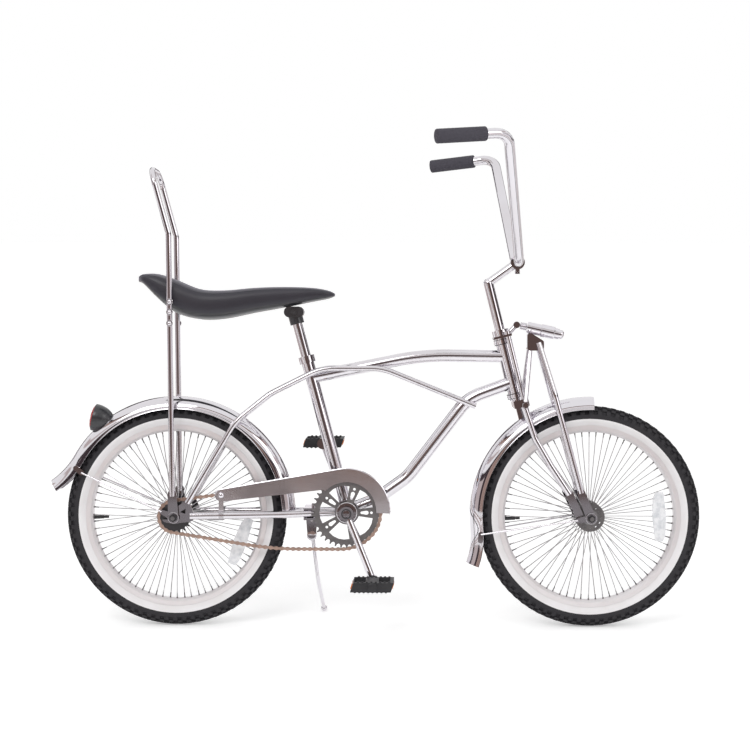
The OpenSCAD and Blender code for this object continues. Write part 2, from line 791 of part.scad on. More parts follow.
// The chain's run as arcs and lines: [kind, centre, radius, start angle, end angle] or
// ["line", start, end], clockwise as seen from the bike's right
slack_r = 94;
slack_angle = -40;
sprocket_c2 = flat(rear_c);
ring_c2 = flat(bb_c);
slack_c2 = ring_c2 + polar(ring_r - slack_r, slack_angle);
sag_z = slack_c2.y - slack_r;
sag_r = 800;
// Upper run: the outer tangent of sprocket and ring
upper_gap = ring_c2 - sprocket_c2;
upper_a = atan2(upper_gap.y, upper_gap.x) + 90 + asin((ring_r - sprocket_r) / norm(upper_gap));
// Lower run: a line off the sprocket, a long soft sag, then level to the slack arc
drop_a = 9.2;
lower_start = sprocket_c2 + polar(sprocket_r, -90 - drop_a);
sag_x = lower_start.x + (lower_start.y - sag_z) / tan(drop_a);
sag_t = sag_r * tan(drop_a / 2);
chain_path = [
    ["line", sprocket_c2 + polar(sprocket_r, upper_a), ring_c2 + polar(ring_r, upper_a)],
    ["arc", ring_c2, ring_r, upper_a, slack_angle],
    ["arc", slack_c2, slack_r, slack_angle, -90],
    ["line", [slack_c2.x, sag_z], [sag_x + sag_t, sag_z]],
    ["arc", [sag_x + sag_t, sag_z + sag_r], sag_r, -90, -90 - drop_a],
    ["line", [sag_x, sag_z] + sag_t * [-cos(drop_a), sin(drop_a)], lower_start],
    ["arc", sprocket_c2, sprocket_r, -90 - drop_a, upper_a - 360]
];
function seg_l(s) = s[0] == "line" ? norm(s[2] - s[1]) : abs(s[4] - s[3]) * PI / 180 * s[2];
function path_l(i = 0) = i == len(chain_path) ? 0 : seg_l(chain_path[i]) + path_l(i + 1);
function on_seg(s, d) = s[0] == "line" ? s[1] + (s[2] - s[1]) * d / seg_l(s)
    : s[1] + polar(s[2], s[3] + (s[4] - s[3]) * d / seg_l(s));
function on_chain(d, i = 0) = d <= seg_l(chain_path[i]) || i == len(chain_path) - 1
    ? on_seg(chain_path[i], d) : on_chain(d - seg_l(chain_path[i]), i + 1);
links = 2 * round(path_l() / chain_pitch / 2);
link_step = path_l() / links;
pins = [for (i = [0:links]) on_chain(i * link_step - floor(i / links) * path_l())];
// The sprocket is turned so that its gaps meet the chain's pins
sprocket_pins = [for (p = pins) if (norm(p - sprocket_c2) < sprocket_r + 0.1) p];
sprocket_mid = sprocket_pins[floor(len(sprocket_pins) / 2)] - sprocket_c2;
sprocket_turn = atan2(sprocket_mid.y, sprocket_mid.x);
plate_r = 4.1;
plate_waist = 2.7;
// One side's plates as a single band with a scalloped outline, narrow between the pins
function band_side(way) = [for (i = [0:links - 1]) let(
        a = pins[i], b = pins[i + 1], t = unit(b - a), n = way * [-t.y, t.x])
    each [a + n * plate_r + t * 0.8, (a + b) / 2 + n * plate_waist, b + n * plate_r - t * 0.8]];
plate_t = 1.1;
inner_gap = 1.9;
module chain() {
    outline = band_side(1);
    inner = band_side(-1);
    color("tan") {
        for (s = [-1, 1]) {
            y = -chain_y + s * (inner_gap + plate_t / 2);
            side_plate(y - plate_t / 2, y + plate_t / 2) polygon(concat(outline, inner),
                [[for (i = [0:len(outline) - 1]) i], [for (i = [0:len(inner) - 1]) len(outline) + i]]);
        }
        // No rollers lie between the ring's teeth, so that the ring turns under the still chain
        for (i = [0:links - 1]) if (norm(pins[i] - ring_c2) > ring_r + tooth_h + roller_r + 1)
            cross_pin([pins[i].x, 0, pins[i].y], -chain_y - inner_gap, -chain_y + inner_gap, 2 * roller_r, $fn = 8);
    }
}

guard_y = 51;
guard_t = 1.4;
guard_lip_y = 44;
guard_lip_t = 1.6;
guard_r = 98.5;
guard_inner_r = 67;
guard_c = ring_c2 + [0, 3];
guard_boss = [106, 301.5];
guard_boss_r = 14;
guard_strap_w = 11;
// A point on the rear straight of the left chainstay
function on_stay(x) = let(a = stay_path[2], b = stay_path[3], t = (x - a.x) / (b.x - a.x))
    [x, -a.y - (b.y - a.y) * t, a.z + (b.z - a.z) * t];
clip_d = 22;
// A clip that wraps a chainstay; side is 1 on the left
module stay_sleeve(x, half_l, side) {
    rod(beside(on_stay(x - half_l), side), beside(on_stay(x + half_l), side), clip_d);
}
module stay_bore(x, side) {
    rod(beside(on_stay(x - 60), side), beside(on_stay(x + 60), side), stay_d + 2 * running_gap);
}
// The disc behind the ring, with a tapering tail to the boss
module guard_shape(inset) {
    link_outline(guard_boss, guard_boss_r - inset, guard_c, guard_r - inset);
}
// Below this line the guard is open
module guard_mouth() {
    polygon([guard_boss + [-46, -20], guard_boss + [232, 13], guard_c, guard_c + [170, -7],
        guard_c + [170, -170], guard_boss + [-46, -170]]);
}
module chain_guard() {
    color("gray") difference() {
        union() {
            side_plate(-guard_y - guard_t / 2, -guard_y + guard_t / 2) difference() {
                guard_shape(0);
                translate(guard_c) circle(r = guard_inner_r);
                guard_mouth();
            }
            // The lip that turns in over the chain
            side_plate(-guard_y, -guard_lip_y) difference() {
                guard_shape(0);
                guard_shape(guard_lip_t);
                guard_mouth();
                translate(guard_boss - [30, 30]) square([30, 60]);
            }
            side_plate(-guard_y - guard_t / 2, -guard_y + guard_t / 2)
                translate([guard_boss.x - guard_strap_w / 2, on_stay(guard_boss.x).z])
                    square([guard_strap_w, guard_boss.y - guard_boss_r - on_stay(guard_boss.x).z + 4]);
            stay_sleeve(guard_boss.x, guard_strap_w / 2, -1);
        }
        stay_bore(guard_boss.x, -1);
    }
}

brake_arm_y = 43;
brake_arm_t = 3;
brake_arm_x = 99;
module brake_arm() {
    color(dark) difference() {
        union() {
            link_plate([0, 0, wheel_r], 16, [brake_arm_x, 0, on_stay(brake_arm_x).z - clip_d / 2 - 4], 7,
                brake_arm_y, brake_arm_y + brake_arm_t);
            stay_sleeve(brake_arm_x, 6, 1);
        }
        cross_pin(rear_c, 0, 80, axle_d + 2 * running_gap);
        stay_bore(brake_arm_x, 1);
    }
}

// Kickstand

stand_pivot = [307, 46, 204];
// The leg folds back and up about this axis, which tips it a little inward
fold_dir = unit([0, 1, 0.15]);
stand_eye_half = 6;
stand_eye_d = 20;
stand_pin_d = 8;
clamp_x0 = 292;
clamp_l = 30;
clamp_half_w = 41;
clamp_t = 5;
stay_low_z = 249.2;
stay_high_z = 267.6;
module kickstand_bracket() {
    color(chrome) {
        translate([clamp_x0, -clamp_half_w, stay_low_z - clamp_t]) cube([clamp_l, 2 * clamp_half_w, clamp_t]);
        side_plate(24, 34) link_outline([clamp_x0 + clamp_l / 2, stay_low_z - 14], 12.5, flat(stand_pivot), 10);
        rod(stand_pivot - fold_dir * 22, stand_pivot - fold_dir * (stand_eye_half + running_gap), 23);
        translate([clamp_x0, -clamp_half_w, stay_high_z]) cube([clamp_l, 2 * clamp_half_w, clamp_t - 1]);
        rod([clamp_bolt_x, 0, stay_low_z - clamp_t - 8], [clamp_bolt_x, 0, stay_high_z + clamp_t + 6], 8);
        rod([clamp_bolt_x, 0, stay_low_z - clamp_t - 7], [clamp_bolt_x, 0, stay_low_z - clamp_t], 14);
        rod(stand_pivot - fold_dir * 12, stand_pivot + fold_dir * 10, stand_pin_d);
        rod(stand_pivot + fold_dir * (stand_eye_half + running_gap), stand_pivot + fold_dir * 10, 14);
    }
}
clamp_bolt_x = 312;
stand_d = 9;
stand_knee = [321, 58, 89];
stand_tip_d = 15;
stand_foot = [331, foot_y, foot_y * tan(lean) + (stand_tip_d / 2 - z_lift) / cos(lean)];
module kickstand() {
    color(chrome) difference() {
        union() {
            rod(stand_pivot - fold_dir * stand_eye_half, stand_pivot + fold_dir * stand_eye_half, stand_eye_d);
            bent_tube([stand_pivot, stand_knee, stand_foot], 50, stand_d);
            translate(stand_foot) sphere(d = stand_tip_d);
        }
        rod(stand_pivot - fold_dir * 20, stand_pivot + fold_dir * 20, stand_pin_d + 2 * running_gap);
    }
}

// Fork

link_t = 3.6;
link_plate_y = 50;
crown_low = -32;
crown_h = 17;
crown_half_w = 54;
crown_back = 12;
crown_front = 22;
strut_y = 29;
strut_x = 13;
fork_pivot = [791.4, 0, 507.5];
rear_leg_y = 45;
rear_leg_path = [
    [788, -rear_leg_y, 512], [815, -rear_leg_y, 430], [850, -rear_leg_y, 370], [893, -rear_leg_y, 305]
];
link_pivot = [919, 0, 249];
module fork_rear_legs() {
    color(chrome) difference() {
        union() {
            on_head_axis() {
                translate([0, 0, crown_low]) cylinder(d = steerer_d, h = stack_top - crown_low);
                translate([0, 0, crown_low + crown_h]) cylinder(d = 32, h = -cup_l - running_gap - crown_low - crown_h);
                translate([-crown_back, -crown_half_w, crown_low])
                    cube([crown_back + crown_front, 2 * crown_half_w, crown_h]);
                for (s = [-1, 1]) translate([strut_x, s * strut_y, crown_low + 1])
                    cylinder(d = strut_d, h = bracket_s - running_gap - crown_low - 1);
            }
            both_sides() {
                bent_tube(rear_leg_path, 60, rear_leg_d);
                link_plate([893, 0, 305], 9, link_pivot, 9, -rear_leg_y - link_t / 2, -rear_leg_y + link_t / 2);
            }
        }
        on_head_axis() translate([0, 0, 40]) cylinder(d = quill_d + 2 * running_gap, h = 200);
        cross_pin(link_pivot, -80, 80, link_pin_d + 2 * running_gap);
    }
}

stack_top = 148;
bracket_s = 130;
quill_d = 22.2;
spring_a = [775, 0, 687.5];
spring_b = [876, 0, 665];
module fork_bracket() {
    color(chrome) difference() {
        union() {
            on_head_axis() {
                translate([0, 0, head_l + cup_l + running_gap]) cylinder(d = 38, h = stack_top - head_l - cup_l - running_gap);
                translate([-20, -strut_y - 8, bracket_s]) cube([42, 2 * strut_y + 16, 5]);
                for (s = [-1, 1]) translate([strut_x, s * strut_y, bracket_s + 4]) cylinder(d = 14, h = 8);
            }
            rod(on_head(bracket_s + 5) + [16, 0, 4], spring_a, 11);
            cross_pin(spring_a, -9, 9, 15);
        }
        on_head_axis() cylinder(d = steerer_d + 2 * running_gap, h = stack_top + 20);
    }
}

front_leg_path = [
    [824, -19, 646], [858, -46, 532], [919, -link_plate_y, 308]
];
link_inner_y = rear_leg_y + link_t / 2 + running_gap;
link_outer_y = link_plate_y + link_t / 3 - running_gap;
link_pin_d = 8;
casting_half_w = 21;
casting_corners = [[805, 636], [829, 636], [829, 647], [805, 662]];
housing_x0 = 799;
housing_x1 = 830;
housing_d = 26;
spring_way = unit(spring_b - spring_a);
function on_spring(x) = spring_a + spring_way * (x - spring_a.x) / spring_way.x;
rocker_top = [805, -14, 632];
module fork_front_legs() {
    eye_y = crown_half_w + running_gap;
    color(chrome) difference() {
        union() {
            both_sides() {
                bent_tube(front_leg_path, 80, front_leg_d);
                link_plate([919, 0, 308], 9, front_c, 11, -link_outer_y - running_gap - link_t, -link_outer_y - running_gap);
                // The rocker's tubes run down to the pivot bolts on the crown
                rod(rocker_top, fork_pivot - [0, eye_y + 5, 0], 11);
                cross_pin(fork_pivot, -eye_y - 9, -eye_y, 16);
                cross_pin(fork_pivot, -eye_y - 13, -eye_y - 8, 12);
            }
            side_plate(-casting_half_w, casting_half_w) rounded_outline(casting_corners, 7);
            rod(on_spring(housing_x0), on_spring(housing_x1), housing_d);
        }
        cross_pin(front_c, -90, 90, axle_d + 2 * running_gap);
        rod(on_spring(housing_x0 - 20), on_spring(housing_x1 + 20), spring_rod_d + 2 * running_gap);
        // The rocker's tubes keep clear of the crown
        on_head_axis() translate([-60, -crown_half_w - running_gap, crown_low - 5])
            cube([120, 2 * crown_half_w + 2 * running_gap, crown_h + 6]);
    }
}
module fork_links() {
    color(dark) both_sides() {
        difference() {
            link_plate(link_pivot, 8, front_c, 9, -link_outer_y, -link_inner_y);
            cross_pin(front_c, -90, 90, axle_d + 2 * running_gap);
        }
        cross_pin(link_pivot, -link_outer_y, -link_inner_y + link_t + 3, link_pin_d);
        cross_pin(link_pivot, -rear_leg_y + link_t / 2 + running_gap, -rear_leg_y + link_t / 2 + 2.8, 11);
    }
}
spring_rod_d = 8;
coil_wire_d = 3.8;
coil_turns = 4;
coil_r = 7;
spring_dome_l = 7;
// The spring unit is one turned form along its rod: the rear coil, the cup, a ring and the dome
module fork_spring() {
    coil_start = 8;
    cup_start = (housing_x1 + running_gap - spring_a.x) / spring_way.x;
    cup_end = (861 - spring_a.x) / spring_way.x;
    ring_end = (871 - spring_a.x) / spring_way.x;
    dome_start = norm(spring_b - spring_a);
    dome_r = spring_cup_d / 2 - 4;
    tip = rod_tip(coil_start);
    color(chrome) translate(spring_a) rotate([0, 90 + asin(-spring_way.z), 0])
        rotate_extrude() polygon(concat(
            [[0, coil_start], [spring_rod_d / 2, coil_start]],
            [for (i = [0:coil_turns - 1]) for (a = [-75:50:75]) [coil_r + coil_wire_d / 2 * cos(a),
                tip + (i + 0.5 + 0.45 * sin(a)) * coil_wire_d]],
            [[spring_rod_d / 2, tip + coil_turns * coil_wire_d], [spring_rod_d / 2, cup_start],
            [spring_cup_d / 2 - 1.5, cup_start], [spring_cup_d / 2, cup_start + 1.5],
            [spring_cup_d / 2, cup_end - 1.5], [spring_cup_d / 2 - 1.5, cup_end],
            [dome_r + 2, cup_end], [dome_r + 2, ring_end], [dome_r, ring_end]],
            [for (a = [0:15:75]) [dome_r * cos(a), dome_start + spring_dome_l * sin(a)]],
            [[0, dome_start + spring_dome_l]]));
}
// Where the coil's first turn starts, just past the end of the rod's head
function rod_tip(start) = start + 0.2;

stem_bend = on_head(258);
bar_c = [776, 0, 829];
module stem() {
    color(chrome) difference() {
        union() {
            rod(on_head(60), stem_bend, quill_d);
            translate(stem_bend) sphere(d = quill_d);
            rod(stem_bend, bar_c, 19);
            cross_pin(bar_c, -19, 19, bar_d + 10);
            translate(bar_c + [0, 0, -18]) cube([10, 24, 16], center = true);
        }
        cross_pin(bar_c, -40, 40, bar_d + running_gap);
    }
}

riser_foot = [776, -62, 829];
riser_top = [738, -0.86 * bar_half_w, bar_top_z];
grip_droop = 6;
grip_way = unit([-1, -0.12, -tan(grip_droop)]);
grip_mid = [640, -bar_half_w, 1084];
grip_end = grip_mid + grip_way * grip_l / 2;
bar_end_way = unit(grip_end - riser_top);
bar_end = grip_end - bar_end_way * 4;
grip_fit = 0.2;
module handlebar() {
    color(chrome) bent_tube([
        for (p = [bar_end, riser_top, riser_foot]) p,
        for (p = [riser_foot, riser_top, bar_end]) [p.x, -p.y, p.z]], 40, bar_d);
}
module grip() {
    // The tube runs from the top bend through the grip, so the grip follows that line
    color("black") difference() {
        rod(grip_end - bar_end_way * grip_l, grip_end, grip_d);
        rod(grip_end - bar_end_way * (grip_l + 5), grip_end - bar_end_way * 3, bar_d + grip_fit);
    }
}
module grip_right() grip();
module grip_left() mirror([0, 1, 0]) grip();

// Placing: the bike leans about its ground line, then the origin moves to the middle of its floor box

// The rear fender's tip, and the rounded end of the front tyre, bound the bike's length
tail_c = (fender_r + flare_r) * cos(rear_fender_end);
tail_x = tail_c + (flare_r - flare_swell) * cos(rear_fender_end + 180 - fender_turn);
x_mid = (wheelbase + wheel_r + tail_x) / 2;
y_mid = grip_end.z * sin(lean);
module parked() {
    translate([-x_mid, -y_mid, z_lift]) rotate([-lean, 0, 0]) children();
}

parked() head_tube();
parked() top_tube();
parked() down_tube();
parked() seat_tube();
parked() twin_tubes();
parked() chainstays();
parked() seat_post();
parked() seat_clamp();
parked() saddle();
parked() sissy_bar();
parked() rear_fender();
parked() rear_fender_stays();
parked() tail_lamp();
parked() tail_lens();
parked() chain();
parked() chain_guard();
parked() rear_sprocket();
parked() brake_arm();
parked() kickstand_bracket();
parked() rear_axle();
parked() fork_rear_legs();
parked() fork_front_legs();
parked() fork_links();
parked() fork_spring();
parked() fork_bracket();
parked() stem();
parked() handlebar();
parked() grip_right();
parked() grip_left();
parked() front_fender();
parked() front_fender_stays();
parked() front_axle();
parked() front_tyre();
parked() front_rim();
parked() front_spokes();
parked() front_hub();
parked() front_reflector();
parked() rear_tyre();
parked() rear_rim();
parked() rear_spokes();
parked() rear_hub();
parked() rear_reflector();
parked() crank();
parked() chainring();
parked() pedal_right();
parked() pedal_left();
parked() kickstand();
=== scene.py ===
# %% [markdown]
# A chopper bicycle on its side stand
#
# The solids of this bicycle come packed as a frame that never moves. This lesson dresses them: tyres
# with knobs, a padded seat, a real chain, foam grips, nuts and bolts, and a finish for every
# surface. The scene is in metres, and the pieces are drawn in millimetres on the upright bicycle.

import json
import math
import bpy
import bmesh
from mathutils import Matrix, Vector


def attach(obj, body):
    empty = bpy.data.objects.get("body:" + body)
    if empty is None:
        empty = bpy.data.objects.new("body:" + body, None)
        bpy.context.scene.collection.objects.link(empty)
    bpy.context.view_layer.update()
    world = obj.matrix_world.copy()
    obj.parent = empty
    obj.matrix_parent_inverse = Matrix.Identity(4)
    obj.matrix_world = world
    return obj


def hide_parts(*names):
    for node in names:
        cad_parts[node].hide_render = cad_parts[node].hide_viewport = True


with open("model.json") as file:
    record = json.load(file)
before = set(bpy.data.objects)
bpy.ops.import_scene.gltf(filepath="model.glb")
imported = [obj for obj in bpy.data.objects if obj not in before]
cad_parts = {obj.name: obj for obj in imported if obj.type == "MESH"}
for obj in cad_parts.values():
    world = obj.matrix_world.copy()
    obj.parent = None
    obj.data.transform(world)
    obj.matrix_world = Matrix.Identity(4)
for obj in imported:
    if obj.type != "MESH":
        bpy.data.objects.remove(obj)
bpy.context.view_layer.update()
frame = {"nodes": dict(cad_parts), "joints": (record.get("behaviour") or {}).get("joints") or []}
nodes = frame["nodes"]
joints = {j["name"]: j for j in frame["joints"]}
print("packed nodes:", len(nodes))

# %% [markdown]
# The bicycle leans on its stand, so its own directions aren't those of the world. Both wheel joints
# are known, and from them come the bicycle's forward, left and up. at() then takes a place on the
# upright bicycle, in millimetres from the rear axle's foot on the ground, which is how its maker
# would measure it.

# %% The bicycle's own directions
MM = 0.001
REAR_HUB = Vector(joints["rear_wheel_spin"]["pos_m"])
FRONT_HUB = Vector(joints["front_wheel_spin"]["pos_m"])
LEFT = Vector(joints["rear_wheel_spin"]["axis"]).normalized()
FORWARD = (FRONT_HUB - REAR_HUB).normalized()
UP = FORWARD.cross(LEFT)
WHEELS = {"front": FRONT_HUB, "rear": REAR_HUB}
WHEEL_R = 252


def at(x, y, z):
    """A place in the scene, from millimetres on the upright bicycle."""
    return REAR_HUB + (FORWARD * x + LEFT * y + UP * (z - WHEEL_R)) * MM


def placed(origin):
    """The matrix that takes a shape drawn in millimetres on the upright bicycle to its place."""
    turn = Matrix((FORWARD, LEFT, UP)).transposed().to_4x4()
    return Matrix.Translation(origin) @ turn @ Matrix.Scale(MM, 4)


def polar(r, degrees):
    """A point of the side view, from its distance and direction."""
    return Vector((r * math.cos(math.radians(degrees)), r * math.sin(math.radians(degrees))))


def beside(painted_side_reflection, y=0.0):
    """A point of the side view, set some way to the bicycle's left."""
    return Vector((painted_side_reflection.x, y, painted_side_reflection.y))


BIKE = placed(at(0, 0, 0))
print("wheelbase:", round((FRONT_HUB - REAR_HUB).length, 4))

# %% [markdown]
# Most pieces here are drawn as loose lists of points and faces, because a section that is turned or
# swept is shorter to write than to model by hand. These helpers put such a list in place, turn its
# faces outwards and give it smooth shading with crisp edges.

# %% Helpers for pieces
def finished(name, mesh, body, materials, slot, crease=40):
    """A visible piece that rides on a body. Its edges sharper than the crease stay crisp."""
    obj = bpy.data.objects.new(name, mesh)
    bpy.context.scene.collection.objects.link(obj)
    for material in materials if isinstance(materials, list) else [materials]:
        mesh.materials.append(material)
    for face in mesh.polygons:
        face.use_smooth = True
    mesh.set_sharp_from_angle(angle=math.radians(crease))
    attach(obj, body)
    return obj


def mesh_from(name, points, faces, matrix, marks=None):
    """A mesh with its faces outwards. Marks choose each face's material."""
    mesh = bpy.data.meshes.new(name)
    mesh.from_pydata([tuple(p) for p in points], [], faces)
    if marks:
        for face, mark in zip(mesh.polygons, marks):
            face.material_index = mark
    bm = bmesh.new()
    bm.from_mesh(mesh)
    bmesh.ops.remove_doubles(bm, verts=bm.verts, dist=1e-4)
    bmesh.ops.recalc_face_normals(bm, faces=bm.faces)
    bm.to_mesh(mesh)
    bm.free()
    mesh.transform(matrix)
    return mesh


def piece(name, points, faces, matrix, *looks, marks=None):
    """A visible piece straight from its points and faces."""
    return finished(name, mesh_from(name, points, faces, matrix, marks), *looks)


def added(points, faces, more, loops):
    """Adds one shape's points and faces to another's."""
    first = len(points)
    points += more
    faces += [tuple(first + k for k in loop) for loop in loops]


def bands(n, rows):
    """The faces between rows of n points, where each row is a closed ring."""
    return [(j * n + k, j * n + (k + 1) % n, (j + 1) * n + (k + 1) % n, (j + 1) * n + k)
            for j in range(rows - 1) for k in range(n)]


def ends(n, rows):
    """The faces that close the first and the last row."""
    return [tuple(range(n))[::-1], tuple((rows - 1) * n + k for k in range(n))]


def turned(section, steps, closed=True):
    """A section of (radius, along) points turned round the Y axis."""
    points, faces = [], []
    n = len(section)
    for i in range(steps):
        a = 2 * math.pi * i / steps
        points += [(r * math.cos(a), y, r * math.sin(a)) for r, y in section]
    for i in range(steps):
        j = (i + 1) % steps
        for k in range(n if closed else n - 1):
            m = (k + 1) % n
            faces.append((i * n + k, i * n + m, j * n + m, j * n + k))
    return points, faces


def swept(path, radius, sides):
    """A round bar along a path, with one radius or a list of them."""
    path = [Vector(p) for p in path]
    count = len(path)
    points = []
    normal = None
    for i, p in enumerate(path):
        way = (path[min(i + 1, count - 1)] - path[max(i - 1, 0)]).normalized()
        if normal is None:
            normal = way.orthogonal().normalized()
        normal = (normal - way * normal.dot(way)).normalized()
        side = way.cross(normal)
        r = radius[i] if isinstance(radius, list) else radius
        for k in range(sides):
            a = 2 * math.pi * k / sides
            points.append(p + (normal * math.cos(a) + side * math.sin(a)) * r)
    return points, bands(sides, count) + ends(sides, count)


print("wheels to draw:", list(WHEELS))

# %% [markdown]
# Real finishes are never even. One node group breaks each of them up a little: it mixes a second
# colour in by soft noise and lets the roughness drift. It puts out plain values, and each material
# places it with its own numbers.

# %% A shared group for uneven finishes
def node(tree, kind, **settings):
    """A new node of a tree, with its settings."""
    made = tree.nodes.new(kind)
    for key, value in settings.items():
        setattr(made, key, value)
    return made


def sockets(tree, way, kind, *names):
    """New sockets of one kind in a tree's interface."""
    for name in names:
        tree.interface.new_socket(name, in_out=way, socket_type="NodeSocket" + kind)


# Noise values where wear begins and where it is full
WORN_FROM, WORN_FULL = 0.42, 0.72
# How squarely a face looks out to a side where the painted side reflection begins, and where it is full
PAINTED_REFLECTION_FROM, PAINTED_REFLECTION_FULL = 0.984, 0.997
BUMP_DEPTH = 0.0006


def wear_group():
    """Breaks up a colour and a roughness by soft noise."""
    tree = bpy.data.node_groups.new("uneven finish", "ShaderNodeTree")
    sockets(tree, "INPUT", "Color", "Colour", "Worn colour")
    sockets(tree, "INPUT", "Float", "Scale", "Amount", "Roughness", "Drift")
    sockets(tree, "OUTPUT", "Color", "Colour")
    sockets(tree, "OUTPUT", "Float", "Roughness", "Height")
    start = node(tree, "NodeGroupInput")
    end = node(tree, "NodeGroupOutput")
    place = node(tree, "ShaderNodeTexCoord")
    noise = node(tree, "ShaderNodeTexNoise")
    noise.inputs["Detail"].default_value = 5
    spread = node(tree, "ShaderNodeMapRange")
    spread.inputs["From Min"].default_value, spread.inputs["From Max"].default_value = WORN_FROM, WORN_FULL
    share = node(tree, "ShaderNodeMath", operation="MULTIPLY")
    mix = node(tree, "ShaderNodeMix", data_type="RGBA")
    drift = node(tree, "ShaderNodeMath", operation="MULTIPLY_ADD")
    link = tree.links.new
    link(place.outputs["Object"], noise.inputs["Vector"])
    link(start.outputs["Scale"], noise.inputs["Scale"])
    link(noise.outputs["Fac"], spread.inputs["Value"])
    link(spread.outputs["Result"], share.inputs[0])
    link(start.outputs["Amount"], share.inputs[1])
    link(share.outputs[0], mix.inputs["Factor"])
    link(start.outputs["Colour"], mix.inputs["A"])
    link(start.outputs["Worn colour"], mix.inputs["B"])
    link(spread.outputs["Result"], drift.inputs[0])
    link(start.outputs["Drift"], drift.inputs[1])
    link(start.outputs["Roughness"], drift.inputs[2])
    link(mix.outputs["Result"], end.inputs["Colour"])
    link(drift.outputs[0], end.inputs["Roughness"])
    link(noise.outputs["Fac"], end.inputs["Height"])
    return tree


UNEVEN = wear_group()


def finish(name, colour, worn, rough, drift, amount, scale, metal=0.0, bump=0.0, grain=0.0, painted_side_reflection=None,
           **shader):
    """A material: an even shader whose colour and roughness the group breaks up. Faces that look straight out
    to a side take a painted reflection colour, where one is given: a flat tint that stands in for the dark
    room those faces would mirror."""
    material = bpy.data.materials.new(name)
    material.use_nodes = True
    tree = material.node_tree
    link = tree.links.new
    skin = tree.nodes["Principled BSDF"]
    group = node(tree, "ShaderNodeGroup", node_tree=UNEVEN)
    group.inputs["Colour"].default_value = (*colour, 1)
    group.inputs["Worn colour"].default_value = (*worn, 1)
    for key, value in (("Scale", scale), ("Amount", amount), ("Roughness", rough), ("Drift", drift)):
        group.inputs[key].default_value = value
    skin.inputs["Metallic"].default_value = metal
    for key, value in shader.items():
        skin.inputs[key.replace("_", " ")].default_value = value
    link(group.outputs["Colour"], skin.inputs["Base Color"])
    # Painted reflection: faces that look square out to the bicycle's side take a flat colour in place of what
    # they would mirror
    if painted_side_reflection:
        place = node(tree, "ShaderNodeTexCoord")
        along = node(tree, "ShaderNodeVectorMath", operation="DOT_PRODUCT")
        along.inputs[1].default_value = LEFT
        size = node(tree, "ShaderNodeMath", operation="ABSOLUTE")
        reflection_mask = node(tree, "ShaderNodeMapRange")
        reflection_mask.inputs["From Min"].default_value, reflection_mask.inputs["From Max"].default_value = PAINTED_REFLECTION_FROM, PAINTED_REFLECTION_FULL
        reflection_mix = node(tree, "ShaderNodeMix", data_type="RGBA")
        reflection_mix.inputs["B"].default_value = (*painted_side_reflection, 1)
        link(place.outputs["Normal"], along.inputs[0])
        link(along.outputs["Value"], size.inputs[0])
        link(size.outputs[0], reflection_mask.inputs["Value"])
        link(reflection_mask.outputs["Result"], reflection_mix.inputs["Factor"])
        link(group.outputs["Colour"], reflection_mix.inputs["A"])
        link(reflection_mix.outputs["Result"], skin.inputs["Base Color"])
    link(group.outputs["Roughness"], skin.inputs["Roughness"])
    if bump:
        relief = node(tree, "ShaderNodeBump")
        relief.inputs["Strength"].default_value = bump
        relief.inputs["Distance"].default_value = BUMP_DEPTH
        if grain:
            place = node(tree, "ShaderNodeTexCoord")
            cells = node(tree, "ShaderNodeTexVoronoi")
            cells.inputs["Scale"].default_value = grain
            link(place.outputs["Object"], cells.inputs["Vector"])
            link(cells.outputs["Distance"], relief.inputs["Height"])
        else:
            link(group.outputs["Height"], relief.inputs["Height"])
        link(relief.outputs["Normal"], skin.inputs["Normal"])
    return material


# Chrome's faces that look straight out to a side take a dark flat colour, a painted reflection of a dark room
chrome = finish("chrome", (0.74, 0.72, 0.755), (0.6, 0.56, 0.57), 0.05, 0.05, 0.35, 9, metal=1.0,
                painted_side_reflection=(0.2, 0.185, 0.2))
rim_silver = finish("rim silver", (0.84, 0.81, 0.82), (0.7, 0.67, 0.68), 0.34, 0.1, 0.3, 25, metal=0.7)
spoke_zinc = finish("spoke zinc", (0.5, 0.49, 0.5), (0.34, 0.33, 0.34), 0.28, 0.12, 0.4, 60, metal=0.9)
dark_zinc = finish("dark zinc", (0.17, 0.165, 0.17), (0.28, 0.26, 0.25), 0.36, 0.14, 0.4, 45, metal=0.85)
black_paint = finish("black paint", (0.018, 0.018, 0.022), (0.05, 0.05, 0.055), 0.3, 0.1, 0.3, 30,
                     Coat_Weight=0.4, Coat_Roughness=0.15)
chain_bronze = finish("chain bronze", (0.5, 0.36, 0.3), (0.26, 0.18, 0.15), 0.34, 0.16, 0.6, 90, metal=0.85)
guard_satin = finish("guard satin", (0.46, 0.44, 0.46), (0.2, 0.19, 0.2), 0.1, 0.14, 0.8, 7, metal=1.0)
seat_vinyl = finish("seat vinyl", (0.016, 0.014, 0.023), (0.03, 0.027, 0.038), 0.4, 0.08, 0.4, 16, bump=0.3,
                    grain=700, Sheen_Weight=0.25, Sheen_Roughness=0.4, Sheen_Tint=(0.55, 0.5, 0.75, 1),
                    Coat_Weight=0.15, Coat_Roughness=0.35)
tyre_black = finish("tyre black", (0.011, 0.01, 0.014), (0.034, 0.031, 0.034), 0.62, 0.16, 0.5, 26, bump=0.25)
tyre_white = finish("tyre white", (0.83, 0.81, 0.82), (0.68, 0.65, 0.63), 0.5, 0.1, 0.35, 18, bump=0.12)
grip_rubber = finish("grip rubber", (0.02, 0.019, 0.021), (0.05, 0.048, 0.05), 0.6, 0.12, 0.5, 40, bump=0.3)
pedal_plastic = finish("pedal plastic", (0.013, 0.013, 0.016), (0.04, 0.038, 0.04), 0.46, 0.14, 0.5, 45,
                       bump=0.3, grain=600)
lens_red = finish("lens red", (0.5, 0.02, 0.02), (0.32, 0.012, 0.012), 0.12, 0.06, 0.3, 40,
                  Coat_Weight=0.7, Transmission_Weight=0.15)
